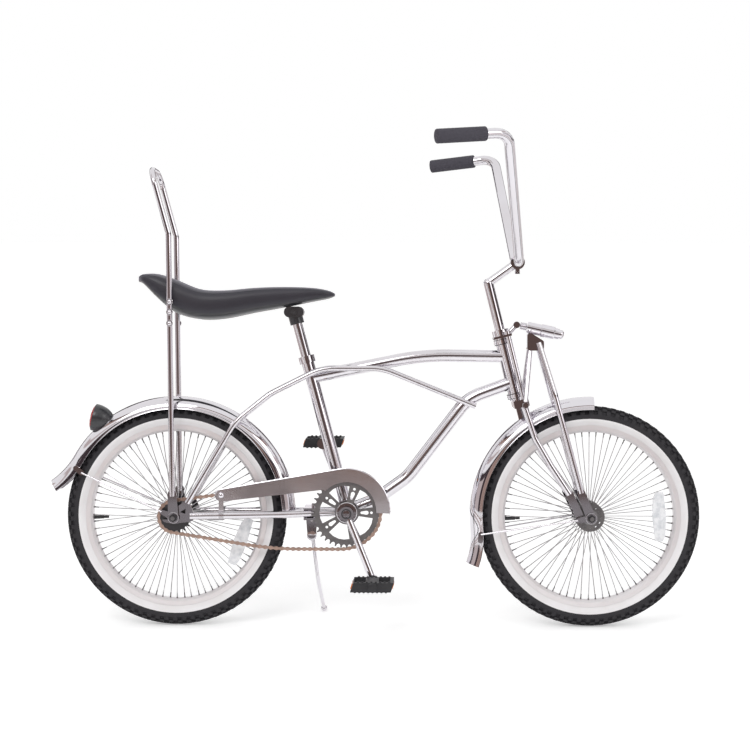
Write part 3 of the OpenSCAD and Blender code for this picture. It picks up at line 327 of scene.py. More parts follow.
reflector_clear = finish("reflector clear", (0.93, 0.93, 0.95), (0.6, 0.62, 0.66), 0.1, 0.1, 0.8, 90,
                         bump=0.5, grain=260, Coat_Weight=0.8, Transmission_Weight=0.1)
print("finishes:", len(bpy.data.materials))

# %% [markdown]
# The rigid solids already have the right shape. Each gets the finish of the real piece in its own
# material slots. Solids that a finer piece replaces further down aren't in this list.

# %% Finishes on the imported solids
FINISHES = {
    chrome: ["head_tube", "top_tube", "down_tube", "seat_tube", "twin_tubes", "chainstays", "seat_post",
             "sissy_bar", "rear_fender_stays", "fork_rear_legs", "fork_front_legs", "fork_spring", "stem",
             "handlebar", "front_fender_stays", "crank", "kickstand", "fork_bracket", "kickstand_bracket"],
    rim_silver: ["front_rim", "rear_rim"],
    dark_zinc: ["fork_links", "chainring", "front_hub", "rear_hub", "brake_arm", "rear_axle", "front_axle"],
    black_paint: ["seat_clamp", "rear_sprocket", "tail_lamp"],
    guard_satin: ["chain_guard"],
    lens_red: ["tail_lens"],
    reflector_clear: ["front_reflector", "rear_reflector"],
    pedal_plastic: ["pedal_right", "pedal_left"],
}
for material, names in FINISHES.items():
    for name in names:
        for mesh_slot in nodes[name].material_slots:
            mesh_slot.material = material
print("dressed:", sum(len(names) for names in FINISHES.values()))

# %% [markdown]
# Knobs, nipples and links repeat many times, so Geometry Nodes make the copies. The first tree turns
# one template round the wheel's axis. The second sets it on points that carry their own turn. Both
# end in plain geometry, and the result is kept as a mesh with no modifier left on it.

# %% Two trees that repeat a template
def repeat_tree(name, on_points):
    """A tree that sets a template on points, or round the Y axis."""
    tree = bpy.data.node_groups.new(name, "GeometryNodeTree")
    sockets(tree, "INPUT", "Geometry", "Template")
    if on_points:
        sockets(tree, "INPUT", "Object", "Points")
    else:
        sockets(tree, "INPUT", "Int", "Count")
        sockets(tree, "INPUT", "Float", "Phase")
    sockets(tree, "INPUT", "Material", "Finish")
    sockets(tree, "OUTPUT", "Geometry", "Geometry")
    link = tree.links.new
    start = node(tree, "NodeGroupInput")
    end = node(tree, "NodeGroupOutput")
    turn = node(tree, "ShaderNodeCombineXYZ")
    copies = node(tree, "GeometryNodeInstanceOnPoints")
    real = node(tree, "GeometryNodeRealizeInstances")
    paint = node(tree, "GeometryNodeSetMaterial")
    if on_points:
        info = node(tree, "GeometryNodeObjectInfo")
        link(start.outputs["Points"], info.inputs["Object"])
        link(info.outputs["Geometry"], copies.inputs["Points"])
        angle = node(tree, "GeometryNodeInputNamedAttribute", data_type="FLOAT")
        angle.inputs["Name"].default_value = "turn"
        link(angle.outputs["Attribute"], turn.inputs["Y"])
    else:
        line = node(tree, "GeometryNodeMeshLine")
        line.inputs["Offset"].default_value = (0, 0, 0)
        link(start.outputs["Count"], line.inputs["Count"])
        link(line.outputs["Mesh"], copies.inputs["Points"])
        index = node(tree, "GeometryNodeInputIndex")
        step = node(tree, "ShaderNodeMath", operation="DIVIDE")
        step.inputs[0].default_value = 2 * math.pi
        angle = node(tree, "ShaderNodeMath", operation="MULTIPLY_ADD")
        link(start.outputs["Count"], step.inputs[1])
        link(index.outputs["Index"], angle.inputs[0])
        link(step.outputs[0], angle.inputs[1])
        link(start.outputs["Phase"], angle.inputs[2])
        link(angle.outputs[0], turn.inputs["Y"])
    link(start.outputs["Template"], copies.inputs["Instance"])
    link(turn.outputs[0], copies.inputs["Rotation"])
    link(copies.outputs["Instances"], real.inputs["Geometry"])
    link(real.outputs["Geometry"], paint.inputs["Geometry"])
    link(start.outputs["Finish"], paint.inputs["Material"])
    link(paint.outputs["Geometry"], end.inputs["Geometry"])
    return tree


RING = repeat_tree("ring of copies", False)
ON_POINTS = repeat_tree("copies on points", True)


def repeated(name, tree, points, faces, matrix, **inputs):
    """The mesh that a tree makes of one template."""
    template = bpy.data.meshes.new(name)
    template.from_pydata([tuple(p) for p in points], [], faces)
    holder = bpy.data.objects.new(name + "_template", template)
    bpy.context.scene.collection.objects.link(holder)
    modifier = holder.modifiers.new("copies", "NODES")
    modifier.node_group = tree
    for item in tree.interface.items_tree:
        if item.in_out == "INPUT" and item.name in inputs:
            modifier[item.identifier] = inputs[item.name]
    bpy.context.view_layer.update()
    graph = bpy.context.evaluated_depsgraph_get()
    mesh = bpy.data.meshes.new_from_object(holder.evaluated_get(graph))
    bpy.data.objects.remove(holder)
    mesh.name = name
    mesh.materials.clear()
    bm = bmesh.new()
    bm.from_mesh(mesh)
    bmesh.ops.recalc_face_normals(bm, faces=bm.faces)
    bm.to_mesh(mesh)
    bm.free()
    mesh.transform(matrix)
    return mesh


print("trees:", RING.name, "and", ON_POINTS.name)

# %% [markdown]
# The tyre is a black one with a white sidewall and a tread of knobs. Its carcass is one turned
# section, and a band of its faces is white. The knobs are one pitch of seven tapered blocks, which
# the ring tree turns round the wheel.

# %% Tyres
TYRE_MID = 228
TYRE_HALF = 24
TYRE_STEPS = 96
TREAD_GROOVE = 4.2
TREAD_PITCHES = 74
# The knobs of one pitch: where each stands on the section in degrees, its shift in pitches, and
# half its length and width
KNOBS = [(90, 0, 5.6, 3.8), (67, 0.5, 5.2, 3.6), (113, 0.5, 5.2, 3.6), (45, 0, 5.4, 3.9), (135, 0, 5.4, 3.9),
         (20, 0.5, 5.6, 5.2), (160, 0.5, 5.6, 5.2)]
# Each ring of a knob: its distance from the middle of the tyre's section, and its share of the size
KNOB_RINGS = [(19.4, 1.16), (23.0, 1.0), (23.6, 0.82)]


def tyre_section():
    """One side of the section, from the bead to the tread. Each point has a mark, 1 for white."""
    side = [(199, 0, 0), (199, 13.2, 0), (206.5, 13.4, 1), (208.4, 15.4, 1), (209.6, 16.2, 1)]
    for angle in range(-38, -8, 5):
        a = math.radians(angle)
        side.append((TYRE_MID + TYRE_HALF * math.sin(a), TYRE_HALF * math.cos(a), 1))
    side.append((TYRE_MID - 3.6, TYRE_HALF * 0.975, 0))
    for angle in range(-6, 91, 8):
        a = math.radians(angle)
        deep = TYRE_HALF if angle < 12 else TYRE_HALF - TREAD_GROOVE
        side.append((TYRE_MID + deep * math.sin(a) * 0.99, deep * math.cos(a), 0))
    return side


def knob(points, faces, angle, along, half_l, half_w):
    """One tapered block of the tread, drawn on the section at an angle."""
    rings = []
    for deep, grow in KNOB_RINGS:
        for s, t in ((-1, -1), (1, -1), (1, 1), (-1, 1)):
            a = math.radians(angle) + t * half_w * grow / TYRE_HALF
            around = (along + s * half_l * grow) / WHEEL_R
            r = TYRE_MID + deep * math.sin(a)
            rings.append((r * math.cos(around), deep * math.cos(a), r * math.sin(around)))
    added(points, faces, rings, bands(4, len(KNOB_RINGS)) + ends(4, len(KNOB_RINGS))[1:])


loop = tyre_section()
loop += [(r, -y, mark) for r, y, mark in reversed(loop) if y > 0]
tyre = turned([(r, y) for r, y, _ in loop], TYRE_STEPS)
tyre_marks = [1 if a[2] and b[2] else 0 for a, b in zip(loop, loop[1:] + loop[:1])] * TYRE_STEPS
tread_points, tread_faces = [], []
pitch = 2 * math.pi * WHEEL_R / TREAD_PITCHES
for row, shift, half_l, half_w in KNOBS:
    knob(tread_points, tread_faces, row, shift * pitch, half_l, half_w)

for end, hub in WHEELS.items():
    body = end + "_wheel"
    carcass = piece(end + "_tyre_carcass", *tyre, placed(hub), body, [tyre_black, tyre_white],
                    "tyre_rubber", 50, marks=tyre_marks)
    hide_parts(end + "_tyre")
    tread = repeated(end + "_tyre_tread", RING, tread_points, tread_faces, placed(hub),
                     Count=TREAD_PITCHES, Phase=0.01, Finish=tyre_black)
    finished(end + "_tyre_tread", tread, body, tyre_black, "tyre_rubber", 30)
    print(end, "knobs:", TREAD_PITCHES * len(KNOBS))

# %% [markdown]
# Where a spoke enters the rim it ends in a nipple, a short tapered nut. Four spokes of the wheel make
# one template of the lacing: the left flange's spokes lean a little one way and the right flange's
# the other way. A valve with its cap comes through the rim too.

# %% Nipples and valves
SPOKE_LEAN = 5
LACING_TURNS = 18
RIM_R, RIM_Y = 191.8, 4
# Spokes sit by turns outside and inside their flange, and as far apart at the rim
STAGGER = 1.4
# Each spoke of the template: its side, its place in or out, and its angles at the hub and the rim
LACING = [(side, out, base + shift, base + shift + side * SPOKE_LEAN)
          for side, shift in ((1, 0), (-1, 5)) for out, base in ((1, 0), (-1, 10))]
NIPPLE = [(0, 0), (1.9, 0), (1.9, 2.4), (1.5, 3.0), (1.35, 11), (0, 11.4)]
VALVE = [(0, 0), (2.6, 0), (3.1, 1.2), (3.1, 9), (2.6, 10.5), (3.6, 11), (3.9, 12.5), (4.2, 30), (4.4, 34)]
VALVE_R, VALVE_ANGLE = 157, 182

one_points, one_faces = turned(NIPPLE, 6, False)
nipple_points, nipple_faces = [], []
for side, out, _, rim_angle in LACING:
    around = Matrix.Rotation(-math.radians(rim_angle), 4, "Y")
    stand = Matrix.Translation((RIM_R, side * (RIM_Y + out * STAGGER), 0))
    stand = stand @ Matrix.Rotation(math.pi / 2, 4, "Z")
    added(nipple_points, nipple_faces, [around @ stand @ Vector(p) for p in one_points], one_faces)

for end, hub in WHEELS.items():
    body = end + "_wheel"
    nipples = repeated(end + "_nipples", RING, nipple_points, nipple_faces, placed(hub),
                       Count=LACING_TURNS, Phase=0.0, Finish=dark_zinc)
    finished(end + "_nipples", nipples, body, dark_zinc, "spoke_steel", 30)
    turn = Matrix.Rotation(-math.radians(VALVE_ANGLE), 4, "Y")
    stand = Matrix.Translation((VALVE_R, 0, 0)) @ Matrix.Rotation(-math.pi / 2, 4, "Z")
    piece(end + "_valve", *turned(VALVE, 14, False), placed(hub) @ turn @ stand, body,
          grip_rubber, "grip_rubber")
print("nipples in a wheel:", LACING_TURNS * len(LACING))

# %% [markdown]
# The seat is the one padded piece: foam under black vinyl. Its outline is lofted through eleven
# measured sections, with soft steps between them. The vinyl is sewn along both shoulders, so a
# shallow groove runs there, and stitches lie in it.

# %% Padded seat
# Each section: its place forward, its top, its underside and half its width
SEAT_SECTIONS = [
    (-85, 797, 784, 16), (-72, 802, 778, 40), (-40, 802, 746, 52.6), (0, 789, 714, 56),
    (54, 768, 699, 56), (110, 765, 700, 53.8), (180, 771, 714, 47), (246, 773, 726, 40.3),
    (310, 771, 739, 34.7), (346, 765, 746, 28), (361, 758, 752, 10)]
SEAT_STEPS = 5
SEAT_AROUND = 48
SEAM_ANGLE = 38
SEAM_DEPTH = 1.1
# How square the section is at its sides and top, and underneath
SQUARE, SQUARE_LOW = 0.62, 0.8


def between(rows, i, t):
    """A smooth curve through measured rows."""
    p = [rows[max(0, min(len(rows) - 1, i + k))] for k in (-1, 0, 1, 2)]
    out = []
    for a, b, c, d in zip(*p):
        out.append(0.5 * (2 * b + (c - a) * t + (2 * a - 5 * b + 4 * c - d) * t * t
                          + (3 * b - a - 3 * c + d) * t ** 3))
    return out


def seat_point(row, degrees, deep=0.0):
    """A point of a seat section, so deep under its skin."""
    x, top, low, half = row
    a = math.radians(degrees)
    c, s = math.cos(a), math.sin(a)
    y = (half - deep) * math.copysign(abs(c) ** SQUARE, c)
    tall = (top - low) / 2 - deep
    z = (top + low) / 2 + tall * math.copysign(abs(s) ** (SQUARE if s > 0 else SQUARE_LOW), s)
    return (x, y, z)


rows = []
for i in range(len(SEAT_SECTIONS) - 1):
    rows += [between(SEAT_SECTIONS, i, step / SEAT_STEPS) for step in range(SEAT_STEPS)]
rows.append(list(SEAT_SECTIONS[-1]))
seams = (SEAM_ANGLE, 180 - SEAM_ANGLE)
angles = sorted({360 * k / SEAT_AROUND for k in range(SEAT_AROUND)}
                | {seam + side for seam in seams for side in (-2, 0, 2)})
seat_points = [seat_point(row, degrees, SEAM_DEPTH if degrees in seams else 0)
               for row in rows for degrees in angles]
size = len(angles), len(rows)
seat_faces = bands(*size) + ends(*size)
# The underside is the seat's black pan
seat_marks = [1 if 205 < degrees < 330 else 0 for degrees in angles] * (len(rows) - 1) + [0, 0]
seat = piece("seat_pad", seat_points, seat_faces, BIKE, "frame", [seat_vinyl, black_paint],
             "seat_vinyl", 50, marks=seat_marks)
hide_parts("saddle")
print("seat length in mm:", SEAT_SECTIONS[-1][0] - SEAT_SECTIONS[0][0])

# %% [markdown]
# Stitches are little rounded bars of thread, laid end to end in the groove. Each point of the groove
# carries the turn of its stitch, and the second tree sets one on every point.

# %% Seat stitches
STITCH = 4.2
thread = finish("seat thread", (0.09, 0.085, 0.11), (0.14, 0.13, 0.16), 0.55, 0.1, 0.4, 200)


def spaced(path, step):
    """Points a fixed step apart along a path, each with the way the path runs there."""
    out, left = [], step / 2
    for a, b in zip(path, path[1:]):
        a, b = Vector(a), Vector(b)
        span = (b - a).length
        way = (b - a).normalized() if span else None
        while left < span:
            out.append((a + way * left, way))
            left += step
        left -= span
    return out


def on_points(name, template, places, matrix, material):
    """Copies of a template on places, each a point and its turn about the bicycle's left."""
    cloud = bpy.data.meshes.new(name + "_points")
    cloud.from_pydata([tuple(p) for p, _ in places], [], [])
    turn = cloud.attributes.new("turn", "FLOAT", "POINT")
    turn.data.foreach_set("value", [angle for _, angle in places])
    holder = bpy.data.objects.new(name + "_points", cloud)
    bpy.context.scene.collection.objects.link(holder)
    mesh = repeated(name, ON_POINTS, *template, matrix, Points=holder, Finish=material)
    bpy.data.objects.remove(holder)
    return mesh


stitch = swept([(-1.5, 0, -0.3), (-0.8, 0, 0.35), (0.8, 0, 0.35), (1.5, 0, -0.3)], [0.2, 0.42, 0.42, 0.2], 5)
places = []
for degrees in seams:
    line = [seat_point(row, degrees, 1.0) for row in rows[3:-3]]
    places += [(p, -math.atan2(way.z, way.x)) for p, way in spaced(line, STITCH)]
stitches = on_points("seat_stitches", stitch, places, BIKE, thread)
finished("seat_stitches", stitches, "frame", thread, "seat_vinyl")
print("stitches:", len(places))

# %% [markdown]
# The grips are plain foam sleeves with round shoulders and a closed end that has a small vent. One
# section turned round the bar's end makes each of them.

# %% Foam grips
GRIP_R, GRIP_L = 15.5, 112
BAR_R = 11.1
GRIP_MID, BAR_BEND = Vector((640, -330, 1084)), Vector((738, -283.8, 1092))
grip_way = Vector((-1, -0.12, -math.tan(math.radians(6)))).normalized()
grip_end = GRIP_MID + grip_way * GRIP_L / 2
bar_way = (grip_end - BAR_BEND).normalized()


def aimed(origin, way):
    """Draws a shape along a way on the upright bicycle instead of along its left."""
    turn = Vector((0, 1, 0)).rotation_difference(Vector(way)).to_matrix().to_4x4()
    return BIKE @ Matrix.Translation(Vector(origin)) @ turn


grip_section = [(0, -0.8), (1.4, -0.8), (1.5, 0), (GRIP_R - 2.6, 0), (GRIP_R - 0.9, -0.7), (GRIP_R, -2.6)]
grip_section += [(GRIP_R - 0.12 * (k % 2), -2.6 - (GRIP_L - 5.2) * k / 24) for k in range(1, 24)]
grip_section += [(GRIP_R, 2.6 - GRIP_L), (GRIP_R - 0.9, 0.7 - GRIP_L), (GRIP_R - 2.6, -GRIP_L),
                 (BAR_R + 0.1, -GRIP_L), (BAR_R + 0.1, 3 - GRIP_L)]
grip_foam = finish("grip foam", (0.045, 0.041, 0.055), (0.085, 0.08, 0.1), 0.75, 0.1, 0.6, 420,
                   bump=0.5, grain=900)
for name, side in (("grip_right", 1), ("grip_left", -1)):
    origin = Vector((grip_end.x, side * grip_end.y, grip_end.z))
    way = Vector((bar_way.x, side * bar_way.y, bar_way.z))
    foam = piece(name + "_foam", *turned(grip_section, 32, False), aimed(origin, way), "fork",
                 grip_foam, "grip_rubber")
    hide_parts(name)
print("grip length in mm:", GRIP_L)

# %% [markdown]
# The chain is a real one: inner links with rollers, outer links with pins. Its path is the one that
# the solids follow, an upper run, the wrap of the ring, a slack lower run and the sprocket. One link
# of each kind is drawn, and the points of the path carry their turns.

# %% Chain
CHAIN_PITCH = 12.7
RING_TEETH, SPROCKET_TEETH = 38, 18
CHAIN_Y = 43
CRANK = Vector((390, 262))
HUB = Vector((0, 252))


def pitch_r(teeth):
    """The radius on which the pins lie round a ring of teeth."""
    return CHAIN_PITCH / 2 / math.sin(math.pi / teeth)


ring_r, sprocket_r = pitch_r(RING_TEETH), pitch_r(SPROCKET_TEETH)
# The slack run leaves the ring early on a wider curve, then climbs to the sprocket by a slow bend
slack_r, slack_angle, sag_r, drop = 94, -40, 800, 9.2
slack = CRANK + polar(ring_r - slack_r, slack_angle)
sag_z = slack.y - slack_r
gap = CRANK - HUB
climb = math.atan2(gap.y, gap.x) + math.asin((ring_r - sprocket_r) / gap.length)
upper = 90 + math.degrees(climb)
low = HUB + polar(sprocket_r, -90 - drop)
sag_x = low.x + (low.y - sag_z) / math.tan(math.radians(drop))
sag_t = sag_r * math.tan(math.radians(drop / 2))
bend = Vector((sag_x, sag_z)) + polar(sag_t, 180 - drop)
RUNS = [
    ("line", HUB + polar(sprocket_r, upper), CRANK + polar(ring_r, upper)),
    ("arc", CRANK, ring_r, upper, slack_angle),
    ("arc", slack, slack_r, slack_angle, -90),
    ("line", Vector((slack.x, sag_z)), Vector((sag_x + sag_t, sag_z))),
    ("arc", Vector((sag_x + sag_t, sag_z + sag_r)), sag_r, -90, -90 - drop),
    ("line", bend, low),
    ("arc", HUB, sprocket_r, -90 - drop, upper - 360)]


def run_length(run):
    if run[0] == "line":
        return (run[2] - run[1]).length
    return math.radians(abs(run[4] - run[3])) * run[2]


def on_chain(along):
    """The point of the chain's path so far along it."""
    for run in RUNS:
        length = run_length(run)
        if along <= length:
            share = along / length
            if run[0] == "line":
                return run[1] + (run[2] - run[1]) * share
            return run[1] + polar(run[2], run[3] + (run[4] - run[3]) * share)
        along -= length
    return on_chain(along)


total = sum(run_length(run) for run in RUNS)
links = 2 * round(total / CHAIN_PITCH / 2)
pins = [on_chain(i * total / links) for i in range(links)]


def plate(points, faces, y, thick, r, waist, step):
    """A link's plate: two round ends with a narrow middle."""
    outline = []
    for centre, first in ((0, 90), (step, -90)):
        for k in range(7):
            v = polar(r, first + k * 30)
            outline.append((centre + v.x, v.y))
        outline.append((step / 2, -waist if centre == 0 else waist))
    both = [(x, y + side * thick / 2, z) for side in (-1, 1) for x, z in outline]
    added(points, faces, both, bands(len(outline), 2) + ends(len(outline), 2))


def barrel(points, faces, x, half, r, sides):
    """A roller or a pin across the link."""
    made, loops = turned([(0, -half), (r, -half), (r, half), (0, half)], sides, False)
    added(points, faces, [(p[0] + x, p[1], p[2]) for p in made], loops)


step = total / links
# Inner links on the ring are bare, as its teeth stand where their rollers would be
kinds = {"inner": ([], []), "inner_bare": ([], []), "outer": ([], [])}
for kind, (points, faces) in kinds.items():
    far = 3.05 if kind == "outer" else 2.2
    for side in (-1, 1):
        plate(points, faces, side * far, 0.75, 4.4, 2.3, step)
    for x in (0, step):
        if kind == "outer":
            barrel(points, faces, x, 3.75, 1.6, 8)
        elif kind == "inner":
            barrel(points, faces, x, 1.8, 3.7, 10)
places = {kind: [] for kind in kinds}
for i in range(links):
    a, b = pins[i], pins[(i + 1) % links]
    turn = -math.atan2(b.y - a.y, b.x - a.x)
    wrapped = min((a - CRANK).length, (b - CRANK).length) < ring_r + 9
    kind = "outer" if i % 2 else "inner_bare" if wrapped else "inner"
    places[kind].append((beside(a, -CHAIN_Y), turn))
for kind, (points, faces) in kinds.items():
    mesh = on_points("chain_" + kind + "_links", (points, faces), places[kind], BIKE, chain_bronze)
    finished("chain_" + kind + "_links", mesh, "frame", chain_bronze, "chain_steel", 30)
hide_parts("chain")
print("chain links:", links)

# %% [markdown]
# Seventy-two spokes cross each other only slightly, so that from the side they fan out evenly. Each
# runs from its hub flange to its nipple. The lacing's four spokes make one template, and the ring
# tree turns it round the wheel.

# %% Spokes
FLANGE_R, FLANGE_Y = 33.2, 28
SPOKE_R = 1.0
spoke_points, spoke_faces = [], []
for side, out, hub_angle, rim_angle in LACING:
    foot = beside(polar(FLANGE_R, hub_angle), side * (FLANGE_Y + out * STAGGER))
    tip = beside(polar(RIM_R - 0.2, rim_angle), side * (RIM_Y + out * STAGGER))
    added(spoke_points, spoke_faces, *swept([foot, tip], SPOKE_R, 6))
for end, hub in WHEELS.items():
    spokes = repeated(end + "_spoke_fan", RING, spoke_points, spoke_faces, placed(hub),
                      Count=LACING_TURNS, Phase=0.0, Finish=spoke_zinc)
    fan = finished(end + "_spoke_fan", spokes, end + "_wheel", spoke_zinc, "spoke_steel")
    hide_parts(end + "_spokes")
print("spokes in a wheel:", LACING_TURNS * len(LACING))

# %% [markdown]
# The fenders are thin chrome shells, and chrome shows every flaw of a mesh. So each shell is drawn
# again on the same curves with even rows of faces: a band round the wheel, then a tail that flares
# outwards, with its edges rolled.

# %% Fenders
FENDER_R, FENDER_DEPTH, FENDER_HALF, FENDER_T = 272, 28, 31, 1.4
FLARE_R, FLARE_TURN = 180, 25
BAND_STEPS, FLARE_STEPS = 60, 12
ROLL_R = 1.2
# Where each fender's band begins and ends round its wheel, in degrees
FENDERS = {"rear_fender": (REAR_HUB, 2, 150, "frame"), "front_fender": (FRONT_HUB, 88, 186, "fork")}


def fender_section():
    """The shell's section, as radius and place across, with rolled edges."""
    low = FENDER_R - FENDER_DEPTH
    outer, inner = [], []
    for k in range(-12, 13):
        a = math.radians(90 * k / 12)
        for deep, line in ((0, outer), (FENDER_T, inner)):
            line.append((low + (FENDER_DEPTH - deep) * math.cos(a), (FENDER_HALF - deep) * math.sin(a)))
    roll = []
    for t in (30, 75, 120, 165, 210):
        at_edge = polar(ROLL_R, t)
        roll.append((low - at_edge.y, FENDER_HALF - FENDER_T / 2 + at_edge.x))
    return [(r, -y) for r, y in reversed(roll)] + outer + roll + inner[::-1]


def fender(first, last):
    """The points and faces of a fender between two angles of its band."""
    section = fender_section()
    points = []
    stations = [("band", first + (last - first) * k / BAND_STEPS) for k in range(BAND_STEPS + 1)]
    stations += [("flare", FLARE_TURN * k / FLARE_STEPS) for k in range(1, FLARE_STEPS + 1)]
    pole = polar(FENDER_R + FLARE_R, last)
    for kind, a in stations:
        for r, y in section:
            if kind == "band":
                points.append(beside(polar(r, a), y))
            else:
                points.append(beside(pole + polar(FENDER_R + FLARE_R - r, last + 180 - a), y))
    size = len(section), len(stations)
    return points, bands(*size) + ends(*size)


for name, (hub, first, last, body) in FENDERS.items():
    shell = piece(name + "_shell", *fender(first, last), placed(hub), body, chrome, "chrome", 50)
    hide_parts(name)
print("points in a fender's section:", len(fender_section()))

# %% [markdown]
# The guard's edge is a bright rolled bead. It is a thin bar swept along the guard's upper outline.

# %% Guard bead
GUARD_C, GUARD_R = Vector((390, 265)), 98.5
GUARD_BOSS, GUARD_BOSS_R = Vector((106, 301.5)), 14
BEAD_R, BEAD_IN, BEAD_Y = 1.25, 0.6, -51.6
span = GUARD_C - GUARD_BOSS
tangent = math.degrees(math.atan2(span.y, span.x) + math.acos((GUARD_BOSS_R - GUARD_R) / span.length))
round_boss = list(range(230, int(tangent), -12)) + [tangent]
round_ring = [tangent + (-4 - tangent) * k / 30 for k in range(31)]
outline = [GUARD_BOSS + polar(GUARD_BOSS_R - BEAD_IN, a) for a in round_boss]
outline += [GUARD_C + polar(GUARD_R - BEAD_IN, a) for a in round_ring]
bead = swept([beside(p, BEAD_Y) for p in outline], BEAD_R, 8)
piece("guard_bead", *bead, BIKE, "frame", chrome, "guard_grey")
print("bead points:", len(outline))

# %% [markdown]
# Nuts, washers and bolt heads are small, but a bicycle without them looks like a toy. Each is one
# section turned round its own axis: six steps make a hexagon, more make a washer or a dome. The list
# gives the left ones, and every piece is made again on the right.

# %% Fasteners
def fastener(name, origin, way, body, material, kind, across, tall):
    """A nut, washer or dome of a width and height, standing on a place."""
    r = across / 2
    if kind == "nut":
        r = r / math.cos(math.pi / 6)
        section = [(0, 0), (r * 0.94, 0), (r, tall * 0.12), (r, tall * 0.86), (r * 0.93, tall), (0, tall)]
        steps = 6
    elif kind == "washer":
        section = [(0, 0), (r, 0), (r, tall * 0.7), (r - 0.5, tall), (0, tall)]
        steps = 28
    else:
        curve = [math.radians(a) for a in range(0, 91, 15)]
        section = [(0, 0)] + [(r * math.cos(a), tall * math.sin(a)) for a in curve]
        steps = 20
    piece(name, *turned(section, steps, False), aimed(origin, way), body, material, "chrome", 30)


FRONT_X = 941
CRANK_ARM = 160
CRANK_ANGLES = {"right": -68, "left": 112}
FASTENERS = [
    ("rear_axle_washer_{}", (0, 68.4, WHEEL_R), "frame", chrome, "washer", 25, 1.6),
    ("rear_axle_nut_{}", (0, 69.9, WHEEL_R), "frame", black_paint, "nut", 16.2, 7.6),
    ("front_axle_washer_{}", (FRONT_X, 58.5, WHEEL_R), "fork", chrome, "washer", 25, 1.6),
    ("front_axle_nut_{}", (FRONT_X, 60.0, WHEEL_R), "fork", black_paint, "nut", 16.2, 7.6)]
for index, z in enumerate((738, 715, 690)):
    FASTENERS.append(("sissy_washer_{}_%d" % index, (-7, 72.4, z), "frame", chrome, "washer", 15, 1.2))
    FASTENERS.append(("sissy_dome_{}_%d" % index, (-7, 73.4, z), "frame", chrome, "dome", 12, 6.2))
FASTENERS += [
    ("fork_pivot_nut_{}", (791.4, 66.0, 507.5), "fork", chrome, "nut", 13, 5.0),
    ("link_pivot_head_{}", (919, 50.9, 249), "fork", dark_zinc, "nut", 11, 3.6),
    ("clamp_head_{}", (776, 12, 811), "fork", chrome, "nut", 9, 4)]
SIDES = {"right": -1, "left": 1}
for tag, side in SIDES.items():
    out = (0, side, 0)
    for name, (x, y, z), *rest in FASTENERS:
        fastener(name.format(tag), (x, side * y, z), out, *rest)
    pedal_end = beside(CRANK + polar(CRANK_ARM, CRANK_ANGLES[tag]), side * 187)
    fastener("pedal_cap_" + tag, pedal_end, out, "pedal_" + tag, pedal_plastic, "dome", 22, 3.2)
fastener("guard_bolt", (106, -52.0, 301.5), (0, -1, 0), "frame", chrome, "dome", 14, 4.5)
print("fasteners:", 2 * (len(FASTENERS) + 1) + 1)

# %% [markdown]
# Rings mark where parts meet: the headset's races, the cap in each crank arm, the lock ring of the chainring,
# and a fine dark ring between each tyre and its rim, which is painted shade that stands in for the shaded gap
# where they meet.

# %% Rings and caps
HEAD_FOOT, HEAD_WAY = Vector((773, 0, 532)), beside(polar(1, 104))
HEAD_INNER_R = 17.2
# Each ring of the headset: its place along the head tube, its radius, its height and its finish
HEAD_RINGS = [
    (-11, 20.3, 1.2, black_paint), (-1, 20.5, 1.6, black_paint), (115, 20.5, 1.6, black_paint),
    (126, 20.3, 1.2, black_paint), (-7, 21.2, 2.2, chrome), (119, 21.2, 3.0, chrome)]
for index, (along, r, tall, material) in enumerate(HEAD_RINGS):
    ring = turned([(HEAD_INNER_R, 0), (r, 0), (r, tall), (HEAD_INNER_R, tall)], 32)
    place = aimed(HEAD_FOOT + HEAD_WAY * along, HEAD_WAY)
    piece("head_ring_%d" % index, *ring, place, "frame", material, "chrome", 30)

CAP_Y = 72.2
# A thin dark ring where the tyre meets the rim: painted shade for the gap between them
BEAD_GAP_SHADE_SECTION = [(204.2, 11.4), (205.6, 11.4), (205.6, 12.8), (204.2, 12.8)]
for name, section, closed, material in (
        ("dust_cap_", [(0, 0), (8.4, 0), (8.0, 1.2), (0, 1.8)], False, chrome),
        ("dust_ring_", [(8.6, 0), (11.6, 0), (11.6, 0.9), (8.6, 0.9)], True, black_paint)):
    for tag, side in SIDES.items():
        place = aimed(beside(CRANK, side * CAP_Y), (0, side, 0))
        piece(name + tag, *turned(section, 32, closed), place, "crank", material, "chrome", 30)
for end, hub in WHEELS.items():
    for tag, side in SIDES.items():
        seam = turned([(r, side * y) for r, y in BEAD_GAP_SHADE_SECTION], TYRE_STEPS)
        piece(end + "_bead_seam_" + tag, *seam, placed(hub), end + "_wheel", dark_zinc, "rim_silver", 30)

LOCK_SECTION = [(16.7, 0), (23.5, 0), (23.5, 2.2), (22.4, 3.0), (18.0, 3.4), (16.7, 3.4)]
LOCK_Y = -44.4
place = aimed(beside(CRANK, LOCK_Y), (0, -1, 0))
piece("ring_lock", *turned(LOCK_SECTION, 36), place, "crank", chrome, "chrome", 30)
print("rings on the head tube:", len(HEAD_RINGS))

# %% [markdown]
# The pedals are black plastic cages. Rows of small blocks on both treads give grip, and an amber
# reflector sits on each end.

# %% Pedal treads and reflectors
amber = finish("amber reflector", (0.75, 0.2, 0.02), (0.5, 0.12, 0.01), 0.15, 0.1, 0.5, 80,
               bump=0.5, grain=420, Coat_Weight=0.6)
PEDAL_Y = 141
PEDAL_HALF_T = 10.5
# Rows of tread blocks, across the pedal, and the size of a block and of a reflector
TREAD_ROWS, TREAD_STEP = (-41.5, -37, 37, 41.5), 9.7
TREAD_BLOCK, REFLECTOR = (5.2, 3.2, 2.4), (13, 52, 2.4)
REFLECTOR_X, END_SLOPE = 45.4, 18.4


